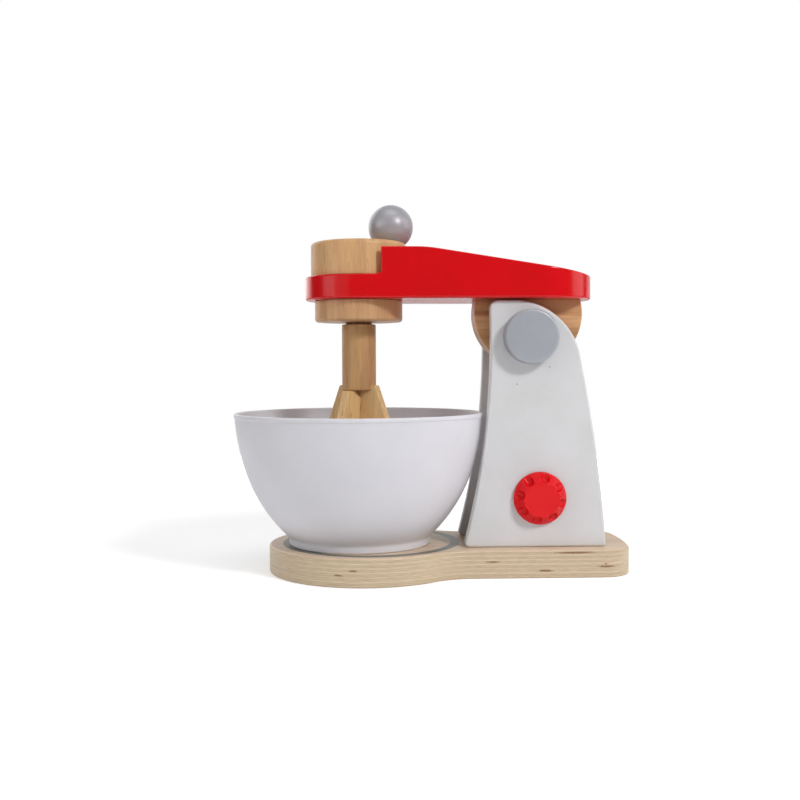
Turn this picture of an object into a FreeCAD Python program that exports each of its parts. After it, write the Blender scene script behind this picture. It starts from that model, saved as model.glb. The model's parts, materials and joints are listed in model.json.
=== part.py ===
import FreeCAD, Part
import math
import os
import re

import Sketcher

# A wooden toy stand mixer. Millimetres, +Z up, +X from the mixing head to the stand,
# +Y to the rear. The origin is on the underside of the base, on the axis of the mixing head.

SIZES = {
    # base board, cut from plywood
    "base_thickness": 18.0,
    "lobe_radius": 64.8,
    "lobe_x": 4.9,
    "tail_half_width": 39.7,
    "tail_end_x": 176.2,
    "tail_end_radius": 200.0,
    "tail_corner": 19.0,
    "neck_radius": 38.0,
    "base_edge_round": 1.4,
    # clearances
    "glue_gap": 0.05,
    "running_gap": 0.06,
    "face_gap": 0.3,
    "rest_gap": 1.0,
    "bowl_seat_gap": 0.05,
    # the two side panels of the stand
    "panel_thickness": 9.0,
    "panel_gap": 38.7,
    "panel_height": 158.9,
    "panel_hollow_radius": 506.0,
    "panel_hollow_height": 132.3,
    "panel_front_x": 84.6,
    "panel_crown_x": 98.9,
    "panel_crown_radius": 44.1,
    "panel_crown_turn": 78.6,
    "panel_back_radius": 985.0,
    "panel_top_corner": 5.5,
    "panel_foot_corner": 2.8,
    "panel_heel_corner": 1.7,
    "panel_edge_round": 1.5,
    # spacer block between the panels, its dowels and the screws from below
    "spacer_x": 86.0,
    "spacer_length": 58.0,
    "spacer_height": 20.0,
    "panel_dowel_radius": 3.0,
    "panel_dowel_inset": 8.0,
    "panel_dowel_height": 10.0,
    "panel_dowel_depth": 5.5,
    "screw_shank_radius": 1.75,
    "screw_head_radius": 3.7,
    "screw_head_height": 2.4,
    "screw_length": 30.0,
    "screw_sink": 0.6,
    "screw_spread_x": 22.0,
    "screw_spread_y": 18.0,
    "screw_slot_width": 0.9,
    "screw_slot_length": 4.2,
    "screw_slot_depth": 1.2,
    # speed knob on the front panel
    "knob_x": 115.8,
    "knob_height": 31.8,
    "knob_radius": 17.0,
    "knob_face_radius": 11.4,
    "knob_length": 9.4,
    "knob_rim": 2.4,
    "knob_edge_round": 0.5,
    "knob_scoop_radius": 3.8,
    "knob_scoop_depth": 1.2,
    "knob_scoop_count": 8,
    "knob_scoop_start": 34.0,
    "knob_dowel_radius": 4.0,
    "knob_dowel_depth": 6.0,
    "knob_washer_radius": 10.0,
    "knob_washer_thickness": 5.0,
    # hinge: axle, caps, block and rings
    "axle_x": 109.8,
    "axle_drop": 23.5,
    "axle_radius": 6.0,
    "cap_radius": 17.4,
    "cap_thickness": 10.0,
    "cap_bore_depth": 6.0,
    "cap_round": 1.8,
    "hinge_block_radius": 35.4,
    "hinge_block_shift": 1.3,
    "hinge_block_drop": 8.9,
    "hinge_block_thickness": 24.0,
    "hinge_block_round": 0.9,
    "hinge_ring_radius": 14.0,
    "arm_dowel_radius": 4.0,
    "arm_dowel_depth": 11.0,
    "arm_dowel_spacing": 34.0,
    # arm
    "arm_half_width": 33.5,
    "arm_nose_x": -35.0,
    "arm_tail_x": 153.6,
    "arm_height": 32.7,
    "arm_ledge": 15.5,
    "arm_wall_radius": 35.2,
    "arm_slope": 9.0,
    "arm_slope_x": 43.7,
    "arm_brow_radius": 90.0,
    "arm_foot_round": 1.5,
    "arm_top_round": 0.9,
    "arm_inner_round": 1.6,
    # mixing head
    "head_upper_radius": 31.4,
    "head_upper_height": 22.3,
    "head_upper_round": 2.8,
    "head_lower_radius": 28.9,
    "head_lower_height": 13.6,
    "head_lower_round": 2.0,
    "spindle_radius": 8.65,
    "spindle_head_depth": 12.0,
    "spindle_shaft_depth": 12.0,
    # crank ball
    "ball_radius": 14.85,
    "ball_rise": 11.25,
    "crank_radius": 22.4,
    "crank_turn": 16.0,
    "peg_radius": 3.0,
    "peg_head_depth": 9.0,
    "peg_ball_depth": 12.0,
    # whisk
    "whisk_shaft_radius": 11.25,
    "whisk_shaft_length": 43.5,
    "whisk_shaft_round": 0.9,
    "whisk_neck": 1.5,
    "blade_thickness": 5.2,
    "blade_turn": 56.0,
    "blade_waist": 14.3,
    "blade_flare_turn": 21.3,
    "blade_flare_drop": 44.0,
    "blade_belly": 26.0,
    "blade_slot_rise": 3.3,
    "blade_drop": 0.3,
    "blade_corner": 1.2,
    "blade_edge_round": 0.6,
    "blade_mouth": 4.0,
    # mixing bowl
    "bowl_x": -0.2,
    "bowl_y": -2.0,
    "bowl_height": 86.3,
    "bowl_mouth_radius": 81.7,
    "bowl_mouth_flare": 2.4,
    "bowl_upper_arc": 140.0,
    "bowl_lower_arc": 103.3,
    "bowl_arc_turn": 18.0,
    "bowl_wall": 2.2,
    "bowl_lip": 0.4,
    "bowl_lip_height": 2.8,
    "bowl_lip_round": 0.8,
    "bowl_foot_radius": 46.6,
    "bowl_foot_width": 3.0,
    "bowl_foot_height": 2.6,
    "bowl_floor": 2.4,
}

# places and sizes that follow from the driving ones, written once and used below
ARM_UNDERSIDE = "(base_thickness + panel_height + rest_gap)"
LEDGE_TOP = f"({ARM_UNDERSIDE} + arm_ledge)"
HEAD_TOP = f"({LEDGE_TOP} + face_gap + head_upper_height)"
HEAD_BOTTOM = f"({ARM_UNDERSIDE} - face_gap - head_lower_height)"
SHAFT_TOP = f"({HEAD_BOTTOM} - whisk_neck)"
SHAFT_BOTTOM = f"({SHAFT_TOP} - whisk_shaft_length)"
AXLE_Z = "(base_thickness + panel_height - axle_drop)"
KNOB_Z = "(base_thickness + knob_height)"
PANEL_OUTER_Y = "(panel_gap / 2 + panel_thickness)"
BLOCK_X = "(axle_x + hinge_block_shift)"

# two places closer than this are one place
SAME_PLACE = 0.01

doc = FreeCAD.newDocument("toy_mixer")
sheet = doc.addObject("Spreadsheet::Sheet", "sizes")
for row, (alias, value) in enumerate(SIZES.items(), start=1):
    sheet.set(f"A{row}", alias)
    sheet.set(f"B{row}", str(value))
    sheet.setAlias(f"B{row}", alias)
doc.recompute()


def tied(formula):
    """The formula with each size written as a cell of the sheet."""
    return re.sub(r"[a-z_]{3,}", lambda word: f"sizes.{word[0]}" if word[0] in SIZES else word[0], formula)


def number(formula):
    """The present value of a formula."""
    return float(sheet.evalExpression(tied(formula)))


def tie(item, **formulas):
    """Bind properties to formulas; a double underscore in a name stands for a dot."""
    for name, formula in formulas.items():
        item.setExpression(name.replace("__", "."), tied(formula))


def place(item, x="0", y="0", z="0"):
    tie(item, Placement__Base__x=x, Placement__Base__y=y, Placement__Base__z=z)


def turn(item, axis, degrees):
    item.Placement = FreeCAD.Placement(FreeCAD.Vector(), FreeCAD.Rotation(FreeCAD.Vector(*axis), degrees))


def new_body(label, x="0", y="0", z="0"):
    body = doc.addObject("PartDesign::Body", label)
    body.Label = label
    body.AllowCompound = True
    place(body, x, y, z)
    return body


def feature(body, kind, name, **formulas):
    """A PartDesign feature in a body, with its sizes bound."""
    item = body.newObject(f"PartDesign::{kind}", name)
    tie(item, **formulas)
    return item


def origin_item(body, role):
    return next(item for item in body.Origin.OriginFeatures if item.Role == role)


def new_sketch(body, plane, name):
    """A sketch on an origin plane of its body."""
    sketch = body.newObject("Sketcher::SketchObject", name)
    sketch.AttachmentSupport = [(origin_item(body, plane), "")]
    sketch.MapMode = "FlatFace"
    return sketch


def pin(sketch, edge, end, x, y):
    """Fix one point of an edge to formulas for its two coordinates."""
    for kind, axis, formula in (("DistanceX", "x", x), ("DistanceY", "y", y)):
        index = sketch.addConstraint(Sketcher.Constraint(kind, -1, 1, edge, end, number(formula)))
        name = f"{axis}{edge}_{end}"
        sketch.renameConstraint(index, name)
        sketch.setExpression(f"Constraints.{name}", tied(formula))


def size_radius(sketch, edge, formula):
    index = sketch.addConstraint(Sketcher.Constraint("Radius", edge, number(formula)))
    sketch.renameConstraint(index, f"radius{edge}")
    sketch.setExpression(f"Constraints.radius{edge}", tied(formula))


def draw_outline(sketch, corners, arcs=None):
    """Draw a closed outline through corners given as pairs of formulas.

    arcs maps the number of an edge, counted from its first corner, to a pair: the formula of its
    radius, and +1 where the arc bulges to the left of the way it is drawn or -1 to the right.
    """
    arcs = arcs or {}
    points = [FreeCAD.Vector(number(x), number(y), 0) for x, y in corners]
    for edge, start in enumerate(points):
        end = points[(edge + 1) % len(points)]
        if edge in arcs:
            formula, side = arcs[edge]
            radius = number(formula)
            chord = end - start
            normal = FreeCAD.Vector(-chord.y, chord.x, 0).normalize() * side
            half = chord.Length / 2
            inward = math.sqrt(max(radius**2 - half**2, 0.0))
            centre = (start + end) * 0.5 - normal * inward
            crest = centre + normal * radius
            sketch.addGeometry(Part.Arc(start, crest, end), False)
            first, last = (2, 1) if side > 0 else (1, 2)
        else:
            sketch.addGeometry(Part.LineSegment(start, end), False)
            first, last = 1, 2
        if edge == 0:
            opening_end = first
        else:
            sketch.addConstraint(Sketcher.Constraint("Coincident", edge - 1, previous_end, edge, first))
        previous_end = last
        pin(sketch, edge, first, *corners[edge])
        if edge in arcs:
            size_radius(sketch, edge, arcs[edge][0])
    sketch.addConstraint(Sketcher.Constraint("Coincident", len(points) - 1, previous_end, 0, opening_end))


def draw_circles(sketch, circles):
    """Circles given as x, y and radius formulas."""
    for edge, (x, y, radius) in enumerate(circles):
        centre = FreeCAD.Vector(number(x), number(y), 0)
        sketch.addGeometry(Part.Circle(centre, FreeCAD.Vector(0, 0, 1), number(radius)), False)
        pin(sketch, edge, 3, x, y)
        size_radius(sketch, edge, radius)


def pad(body, sketch, name, length, symmetric=False, backwards=False):
    item = feature(body, "Pad", name, Length=length)
    item.Profile = sketch
    item.SideType = "Symmetric" if symmetric else "One side"
    item.Reversed = backwards
    doc.recompute()
    return item


def pocket(body, sketch, name, length=None, symmetric=False, backwards=False):
    """Cut a sketch out of its body, through all of it where no length is given."""
    before = body.Tip.Shape.Volume
    item = feature(body, "Pocket", name)
    item.Profile = sketch
    item.SideType = "Symmetric" if symmetric else "One side"
    item.Reversed = backwards
    if length:
        tie(item, Length=length)
    else:
        item.Type = "ThroughAll"
    doc.recompute()
    if item.Shape.Volume >= before:
        raise RuntimeError(f"{name} cuts nothing")
    return item


def remove_solid(body, kind, name, x="0", y="0", z="0", rotation=None, **formulas):
    """Cut a primitive, such as a Cylinder, Box or Cone, out of its body."""
    before = body.Tip.Shape.Volume
    item = feature(body, f"Subtractive{kind}", name, **formulas)
    if rotation:
        turn(item, *rotation)
    place(item, x, y, z)
    doc.recompute()
    if item.Shape.Volume >= before:
        raise RuntimeError(f"{name} cuts nothing")
    return item


def edges_where(shape, wanted):
    """Names of the edges that a test picks."""
    return [f"Edge{index}" for index, edge in enumerate(shape.Edges, start=1) if wanted(edge)]


def fillet(body, name, radius, wanted):
    base = body.Tip
    names = edges_where(base.Shape, wanted)
    if not names:
        raise RuntimeError(f"{name} finds no edge")
    item = feature(body, "Fillet", name, Radius=radius)
    item.Base = (base, names)
    doc.recompute()
    return item


def near(value, formula):
    return abs(value - number(formula)) < SAME_PLACE


def lies_level(edge, axis, formula):
    """True where every corner and the middle of an edge have one coordinate."""
    middle = edge.valueAt((edge.FirstParameter + edge.LastParameter) / 2)
    places = [getattr(vertex.Point, axis) for vertex in edge.Vertexes] + [getattr(middle, axis)]
    return all(near(value, formula) for value in places)


def is_circle(edge, radius):
    return isinstance(edge.Curve, Part.Circle) and near(edge.Curve.Radius, radius)


def turned_body(label, radius, height, x="0", y="0", z="0", rotation=None):
    """A body that starts as a cylinder along its own +Z."""
    body = new_body(label)
    if rotation:
        turn(body, *rotation)
    place(body, x, y, z)
    feature(body, "AdditiveCylinder", f"{label}_blank", Radius=radius, Height=height)
    doc.recompute()
    return body


TOWARDS_FRONT = ((1, 0, 0), 90)
TOWARDS_REAR = ((1, 0, 0), -90)


def repeat_along(body, role, length, count):
    """Repeat the last feature of a body along one of its axes."""
    first = body.Tip
    item = feature(body, "LinearPattern", f"{body.Label}_row", Length=length)
    item.Originals = [first]
    item.Direction = (origin_item(body, role), [""])
    item.Occurrences = count
    body.Tip = item
    doc.recompute()
    return item


# ---------------------------------------------------------------- base board


def make_base_board():
    body = new_body("base_board")
    reach = "(lobe_radius + neck_radius)"
    neck_y = "(tail_half_width + neck_radius)"
    neck_x = f"(lobe_x + sqrt({reach}^2 - {neck_y}^2))"
    touch_x = f"(lobe_x + lobe_radius / {reach} * ({neck_x} - lobe_x))"
    touch_y = f"(lobe_radius / {reach} * {neck_y})"
    # the tail's end is a slow arc that runs into its two round corners
    end_x = "(tail_end_x - tail_end_radius)"
    end_reach = "(tail_end_radius - tail_corner)"
    corner_y = "(tail_half_width - tail_corner)"
    corner_x = f"({end_x} + sqrt({end_reach}^2 - {corner_y}^2))"
    end_touch_x = f"({end_x} + tail_end_radius / {end_reach} * ({corner_x} - {end_x}))"
    end_touch_y = f"(tail_end_radius / {end_reach} * {corner_y})"
    corners = [
        ("lobe_x - lobe_radius", "0"),
        (touch_x, f"-{touch_y}"),
        (neck_x, "-tail_half_width"),
        (corner_x, "-tail_half_width"),
        (end_touch_x, f"-{end_touch_y}"),
        (end_touch_x, end_touch_y),
        (corner_x, "tail_half_width"),
        (neck_x, "tail_half_width"),
        (touch_x, touch_y),
    ]
    arcs = {
        0: ("lobe_radius", -1),
        1: ("neck_radius", 1),
        3: ("tail_corner", -1),
        4: ("tail_end_radius", -1),
        5: ("tail_corner", -1),
        7: ("neck_radius", 1),
        8: ("lobe_radius", -1),
    }
    sketch = new_sketch(body, "XY_Plane", "base_outline")
    draw_outline(sketch, corners, arcs)
    pad(body, sketch, "base_pad", "base_thickness")
    fillet(
        body,
        "base_rounding",
        "base_edge_round",
        lambda edge: lies_level(edge, "z", "0") or lies_level(edge, "z", "base_thickness"),
    )
    # four countersunk screw holes under the spacer block
    for index, (x, y) in enumerate(screw_places()):
        remove_solid(
            body,
            "Cylinder",
            f"screw_hole_{index}",
            x,
            y,
            Radius="screw_shank_radius + running_gap",
            Height="base_thickness",
        )
        remove_solid(
            body,
            "Cylinder",
            f"screw_mouth_{index}",
            x,
            y,
            Radius="screw_head_radius + running_gap",
            Height="screw_sink",
        )
        remove_solid(
            body,
            "Cone",
            f"screw_seat_{index}",
            x,
            y,
            "screw_sink",
            Radius1="screw_head_radius + running_gap",
            Radius2="screw_shank_radius + running_gap",
            Height="screw_head_height",
        )
    return body


def screw_places():
    middle = "(spacer_x + spacer_length / 2)"
    return [
        (f"{middle} {side_x} screw_spread_x / 2", f"{side_y} screw_spread_y / 2")
        for side_x in "-+"
        for side_y in "-+"
    ]


# ---------------------------------------------------------------- stand


def make_panel(label, side):
    """A side panel; side is -1 for the front one and +1 for the rear one."""
    body = new_body(label, y=f"{side} * panel_gap / 2")
    hollow_z = "(base_thickness + panel_hollow_height)"
    panel_top = "(base_thickness + panel_height)"
    hollow_x = "(panel_front_x - panel_hollow_radius)"
    foot_x = f"({hollow_x} + sqrt(panel_hollow_radius^2 - ({hollow_z} - base_thickness)^2))"
    head_x = f"({hollow_x} + sqrt(panel_hollow_radius^2 - ({panel_top} - {hollow_z})^2))"
    crown_z = f"({panel_top} - panel_crown_radius)"
    lean_x = "sin(panel_crown_turn * 1deg)"
    lean_z = "cos(panel_crown_turn * 1deg)"
    join_x = f"(panel_crown_x + panel_crown_radius * {lean_x})"
    join_z = f"({crown_z} + panel_crown_radius * {lean_z})"
    back_x = f"(panel_crown_x + (panel_crown_radius - panel_back_radius) * {lean_x})"
    back_z = f"({crown_z} + (panel_crown_radius - panel_back_radius) * {lean_z})"
    heel_x = f"({back_x} + sqrt(panel_back_radius^2 - (base_thickness - {back_z})^2))"
    corners = [
        (foot_x, "base_thickness"),
        (heel_x, "base_thickness"),
        (join_x, join_z),
        ("panel_crown_x", panel_top),
        (head_x, panel_top),
    ]
    arcs = {
        1: ("panel_back_radius", -1),
        2: ("panel_crown_radius", -1),
        4: ("panel_hollow_radius", 1),
    }
    sketch = new_sketch(body, "XZ_Plane", f"{label}_outline")
    draw_outline(sketch, corners, arcs)
    pad(body, sketch, f"{label}_pad", "panel_thickness", backwards=side > 0)

    outer_y = f"{side} * panel_thickness"

    def corner_at(x, z):
        return lambda edge: all(near(end.Point.x, x) and near(end.Point.z, z) for end in edge.Vertexes)

    fillet(body, f"{label}_top_corner", "panel_top_corner", corner_at(head_x, panel_top))
    fillet(body, f"{label}_foot_corner", "panel_foot_corner", corner_at(foot_x, "base_thickness"))
    fillet(body, f"{label}_heel_corner", "panel_heel_corner", corner_at(heel_x, "base_thickness"))
    fillet(
        body,
        f"{label}_rounding",
        "panel_edge_round",
        lambda edge: lies_level(edge, "y", "0") or lies_level(edge, "y", outer_y),
    )
    bores = [("axle_x", AXLE_Z, "axle_radius + running_gap")]
    if side < 0:
        bores.append(("knob_x", KNOB_Z, "knob_dowel_radius + running_gap"))
    bore_sketch = new_sketch(body, "XZ_Plane", f"{label}_bores")
    draw_circles(bore_sketch, bores)
    pocket(body, bore_sketch, f"{label}_bore_cut", symmetric=True)
    dowel_sketch = new_sketch(body, "XZ_Plane", f"{label}_dowel_bores")
    draw_circles(dowel_sketch, [(x, z, "panel_dowel_radius + glue_gap") for x, z in panel_dowel_places()])
    pocket(body, dowel_sketch, f"{label}_dowel_cut", "panel_dowel_depth", backwards=side < 0)
    return body


def panel_dowel_places():
    z = "base_thickness + panel_dowel_height"
    return [("spacer_x + panel_dowel_inset", z), ("spacer_x + spacer_length - panel_dowel_inset", z)]


def make_panel_spacer():
    body = new_body("panel_spacer", "spacer_x", "-panel_gap / 2", "base_thickness")
    feature(
        body,
        "AdditiveBox",
        "spacer_blank",
        Length="spacer_length",
        Width="panel_gap",
        Height="spacer_height",
    )
    doc.recompute()
    for index, (x, z) in enumerate(panel_dowel_places()):
        remove_solid(
            body,
            "Cylinder",
            f"spacer_dowel_bore_{index}",
            f"{x} - spacer_x",
            "panel_gap",
            f"{z} - base_thickness",
            rotation=TOWARDS_FRONT,
            Radius="panel_dowel_radius + glue_gap",
            Height="panel_gap",
        )
    for index, (x, y) in enumerate(screw_places()):
        remove_solid(
            body,
            "Cylinder",
            f"spacer_pilot_{index}",
            f"{x} - spacer_x",
            f"{y} + panel_gap / 2",
            Radius="screw_shank_radius + glue_gap",
            Height="screw_sink + screw_length - base_thickness + face_gap",
        )
    return body


def make_panel_dowels():
    (first_x, z), _ = panel_dowel_places()
    end_y = "(panel_gap / 2 + panel_dowel_depth - glue_gap)"
    body = new_body("panel_dowels", first_x, end_y, z)
    dowel = feature(
        body, "AdditiveCylinder", "panel_dowel", Radius="panel_dowel_radius", Height=f"2 * {end_y}"
    )
    turn(dowel, *TOWARDS_FRONT)
    doc.recompute()
    repeat_along(body, "X_Axis", "spacer_length - 2 * panel_dowel_inset", 2)
    return body


def make_base_screws():
    """Four countersunk wood screws with a cross recess, driven up into the spacer block."""
    screws = []
    for index, (x, y) in enumerate(screw_places()):
        head = doc.addObject("Part::Cone", f"screw_head_{index}")
        tie(head, Radius1="screw_head_radius", Radius2="screw_shank_radius", Height="screw_head_height")
        place(head, x, y, "screw_sink")
        shank = doc.addObject("Part::Cylinder", f"screw_shank_{index}")
        tie(shank, Radius="screw_shank_radius", Height="screw_length - screw_head_height")
        place(shank, x, y, "screw_sink + screw_head_height")
        slots = []
        for name, long_side, short_side in (("x", "Length", "Width"), ("y", "Width", "Length")):
            slot = doc.addObject("Part::Box", f"screw_slot_{name}_{index}")
            tie(
                slot,
                Height="screw_slot_depth",
                **{long_side: "screw_slot_length", short_side: "screw_slot_width"},
            )
            half = {"Length": "screw_slot_length / 2", "Width": "screw_slot_width / 2"}
            place(slot, f"{x} - {half[long_side]}", f"{y} - {half[short_side]}", "screw_sink")
            slots.append(slot)
        blank = doc.addObject("Part::MultiFuse", f"screw_blank_{index}")
        blank.Shapes = [head, shank]
        recess = doc.addObject("Part::MultiFuse", f"screw_recess_{index}")
        recess.Shapes = slots
        screw = doc.addObject("Part::Cut", f"screw_{index}")
        screw.Base = blank
        screw.Tool = recess
        screws.append(screw)
    group = doc.addObject("Part::Compound", "base_screws")
    group.Label = "base_screws"
    group.Links = screws
    doc.recompute()
    return group


# ---------------------------------------------------------------- speed knob


def make_speed_knob():
    body = new_body("speed_knob")
    turn(body, *TOWARDS_FRONT)
    place(body, "knob_x", f"-({PANEL_OUTER_Y} + face_gap)", KNOB_Z)
    sketch = new_sketch(body, "XZ_Plane", "knob_profile")
    draw_outline(
        sketch,
        [
            ("0", "0"),
            ("knob_radius", "0"),
            ("knob_radius", "knob_rim"),
            ("knob_face_radius", "knob_length"),
            ("0", "knob_length"),
        ],
    )
    blank = feature(body, "Revolution", "knob_blank")
    blank.Profile = sketch
    blank.ReferenceAxis = (origin_item(body, "Z_Axis"), [""])
    blank.Angle = 360
    doc.recompute()
    remove_solid(
        body, "Cylinder", "knob_bore", Radius="knob_dowel_radius + glue_gap", Height="knob_dowel_depth"
    )
    # finger scoops run down the bevel, from the face to the rim
    bevel = "atan2(knob_length - knob_rim; knob_radius - knob_face_radius)"
    lift = "(knob_scoop_radius - knob_scoop_depth)"
    start_r = f"((knob_radius + knob_face_radius + knob_radius * cos({bevel})) / 2 + {lift} * sin({bevel}))"
    start_z = f"((knob_length + knob_rim - knob_radius * sin({bevel})) / 2 + {lift} * cos({bevel}))"
    scoop = feature(
        body, "SubtractiveCylinder", "knob_scoop", Radius="knob_scoop_radius", Height="knob_radius"
    )
    tilt = math.atan2(
        number("knob_radius - knob_face_radius"),
        number("knob_length - knob_rim"),
    )
    heading = FreeCAD.Rotation(FreeCAD.Vector(0, 0, 1), number("knob_scoop_start"))
    lean = FreeCAD.Rotation(FreeCAD.Vector(0, 1, 0), -math.degrees(tilt))
    scoop.Placement = FreeCAD.Placement(FreeCAD.Vector(), heading * lean)
    place(
        scoop,
        f"{start_r} * cos(knob_scoop_start * 1deg)",
        f"{start_r} * sin(knob_scoop_start * 1deg)",
        start_z,
    )
    doc.recompute()
    scoops = feature(body, "PolarPattern", "knob_scoops", Occurrences="knob_scoop_count")
    scoops.Originals = [scoop]
    scoops.Axis = (origin_item(body, "Z_Axis"), [""])
    scoops.Angle = 360
    body.Tip = scoops
    doc.recompute()
    fillet(
        body,
        "knob_rounding",
        "knob_edge_round",
        lambda edge: is_circle(edge, "knob_face_radius") and lies_level(edge, "z", "knob_length"),
    )
    return body


def make_knob_dowel():
    length = "(knob_dowel_depth - glue_gap + 2 * face_gap + panel_thickness + knob_washer_thickness)"
    start = f"-({PANEL_OUTER_Y} + face_gap + knob_dowel_depth - glue_gap)"
    return turned_body(
        "knob_dowel", "knob_dowel_radius", length, "knob_x", start, KNOB_Z, rotation=TOWARDS_REAR
    )


def make_knob_washer():
    body = turned_body(
        "knob_washer",
        "knob_washer_radius",
        "knob_washer_thickness",
        "knob_x",
        "-(panel_gap / 2 - face_gap)",
        KNOB_Z,
        rotation=TOWARDS_REAR,
    )
    remove_solid(
        body,
        "Cylinder",
        "knob_washer_bore",
        Radius="knob_dowel_radius + glue_gap",
        Height="knob_washer_thickness",
    )
    return body


# ---------------------------------------------------------------- hinge


def make_hinge_block():
    body = new_body("hinge_block")
    centre_z = f"({ARM_UNDERSIDE} - hinge_block_drop)"
    half_top = "sqrt(hinge_block_radius^2 - hinge_block_drop^2)"
    sketch = new_sketch(body, "XZ_Plane", "hinge_block_outline")
    draw_outline(
        sketch,
        [
            (f"{BLOCK_X} - {half_top}", ARM_UNDERSIDE),
            (BLOCK_X, f"{centre_z} - hinge_block_radius"),
            (f"{BLOCK_X} + {half_top}", ARM_UNDERSIDE),
        ],
        {0: ("hinge_block_radius", -1), 1: ("hinge_block_radius", -1)},
    )
    pad(body, sketch, "hinge_block_pad", "hinge_block_thickness", symmetric=True)
    fillet(
        body,
        "hinge_block_rounding",
        "hinge_block_round",
        lambda edge: is_circle(edge, "hinge_block_radius"),
    )
    bore = new_sketch(body, "XZ_Plane", "hinge_block_bore")
    draw_circles(bore, [("axle_x", AXLE_Z, "axle_radius + glue_gap")])
    pocket(body, bore, "hinge_block_bore_cut", symmetric=True)
    for index, x in enumerate(arm_dowel_places()):
        remove_solid(
            body,
            "Cylinder",
            f"block_dowel_bore_{index}",
            x,
            "0",
            f"{ARM_UNDERSIDE} - arm_dowel_depth",
            Radius="arm_dowel_radius + glue_gap",
            Height="arm_dowel_depth",
        )
    return body


def arm_dowel_places():
    return [f"{BLOCK_X} {side} arm_dowel_spacing / 2" for side in "-+"]


def make_arm_dowels():
    length = "2 * (arm_dowel_depth - glue_gap)"
    first_x, _ = arm_dowel_places()
    body = turned_body(
        "arm_dowels", "arm_dowel_radius", length, first_x, z=f"{ARM_UNDERSIDE} - arm_dowel_depth + glue_gap"
    )
    repeat_along(body, "X_Axis", "arm_dowel_spacing", 2)
    return body


def make_hinge_axle():
    half = f"({PANEL_OUTER_Y} + face_gap + cap_bore_depth - glue_gap)"
    return turned_body(
        "hinge_axle", "axle_radius", f"2 * {half}", "axle_x", half, AXLE_Z, rotation=TOWARDS_FRONT
    )


def make_axle_cap(label, side):
    """A cap glued on one end of the axle; side is -1 at the front and +1 at the rear."""
    body = turned_body(
        label,
        "cap_radius",
        "cap_thickness",
        "axle_x",
        f"{side} * ({PANEL_OUTER_Y} + face_gap)",
        AXLE_Z,
        rotation=TOWARDS_REAR if side > 0 else TOWARDS_FRONT,
    )
    fillet(
        body,
        f"{label}_rounding",
        "cap_round",
        lambda edge: is_circle(edge, "cap_radius") and lies_level(edge, "z", "cap_thickness"),
    )
    remove_solid(body, "Cylinder", f"{label}_bore", Radius="axle_radius + glue_gap", Height="cap_bore_depth")
    return body


def make_hinge_ring(label, side):
    """A ring on the axle that fills the space between the hinge block and one panel."""
    thickness = "((panel_gap - hinge_block_thickness) / 2 - face_gap)"
    body = turned_body(
        label,
        "hinge_ring_radius",
        thickness,
        "axle_x",
        f"{side} * hinge_block_thickness / 2",
        AXLE_Z,
        rotation=TOWARDS_REAR if side > 0 else TOWARDS_FRONT,
    )
    remove_solid(body, "Cylinder", f"{label}_bore", Radius="axle_radius + glue_gap", Height=thickness)
    return body


# ---------------------------------------------------------------- arm


def make_arm():
    body = new_body("mixer_arm", z=ARM_UNDERSIDE)
    nose_x = "(arm_nose_x + arm_half_width)"
    tail_x = "(arm_tail_x - arm_half_width)"
    plan = new_sketch(body, "XY_Plane", "arm_plan")
    draw_outline(
        plan,
        [
            (nose_x, "-arm_half_width"),
            (tail_x, "-arm_half_width"),
            ("arm_tail_x", "0"),
            (tail_x, "arm_half_width"),
            (nose_x, "arm_half_width"),
            ("arm_nose_x", "0"),
        ],
        {edge: ("arm_half_width", -1) for edge in (1, 2, 4, 5)},
    )
    pad(body, plan, "arm_pad", "arm_height")
    # the top slopes down towards the tail
    overrun = "arm_half_width"
    end_x = f"(arm_tail_x + {overrun})"
    slope = new_sketch(body, "XZ_Plane", "arm_slope_profile")
    draw_outline(
        slope,
        [
            ("arm_slope_x", "arm_height"),
            (end_x, f"arm_height - ({end_x} - arm_slope_x) * tan(arm_slope * 1deg)"),
            (end_x, f"arm_height + {overrun}"),
            ("arm_slope_x", f"arm_height + {overrun}"),
        ],
    )
    pocket(body, slope, "arm_slope_cut", symmetric=True)
    fillet(
        body,
        "arm_brow",
        "arm_brow_radius",
        lambda edge: lies_level(edge, "x", "arm_slope_x") and lies_level(edge, "z", "arm_height"),
    )
    # round recess for the upper head, down to the ledge
    remove_solid(
        body,
        "Cylinder",
        "arm_recess",
        z="arm_ledge",
        Radius="arm_wall_radius",
        Height="arm_height",
    )
    fillet(
        body,
        "arm_inner_rounding",
        "arm_inner_round",
        lambda edge: is_circle(edge, "arm_wall_radius") and lies_level(edge, "z", "arm_ledge"),
    )
    fillet(body, "arm_top_rounding", "arm_top_round", is_upper_arm_edge)
    fillet(body, "arm_foot_rounding", "arm_foot_round", lambda edge: lies_level(edge, "z", "0"))
    remove_solid(
        body, "Cylinder", "spindle_bore", Radius="spindle_radius + running_gap", Height="arm_ledge"
    )
    for index, x in enumerate(arm_dowel_places()):
        remove_solid(
            body,
            "Cylinder",
            f"arm_dowel_bore_{index}",
            x,
            Radius="arm_dowel_radius + glue_gap",
            Height="arm_dowel_depth",
        )
    return body


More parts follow.
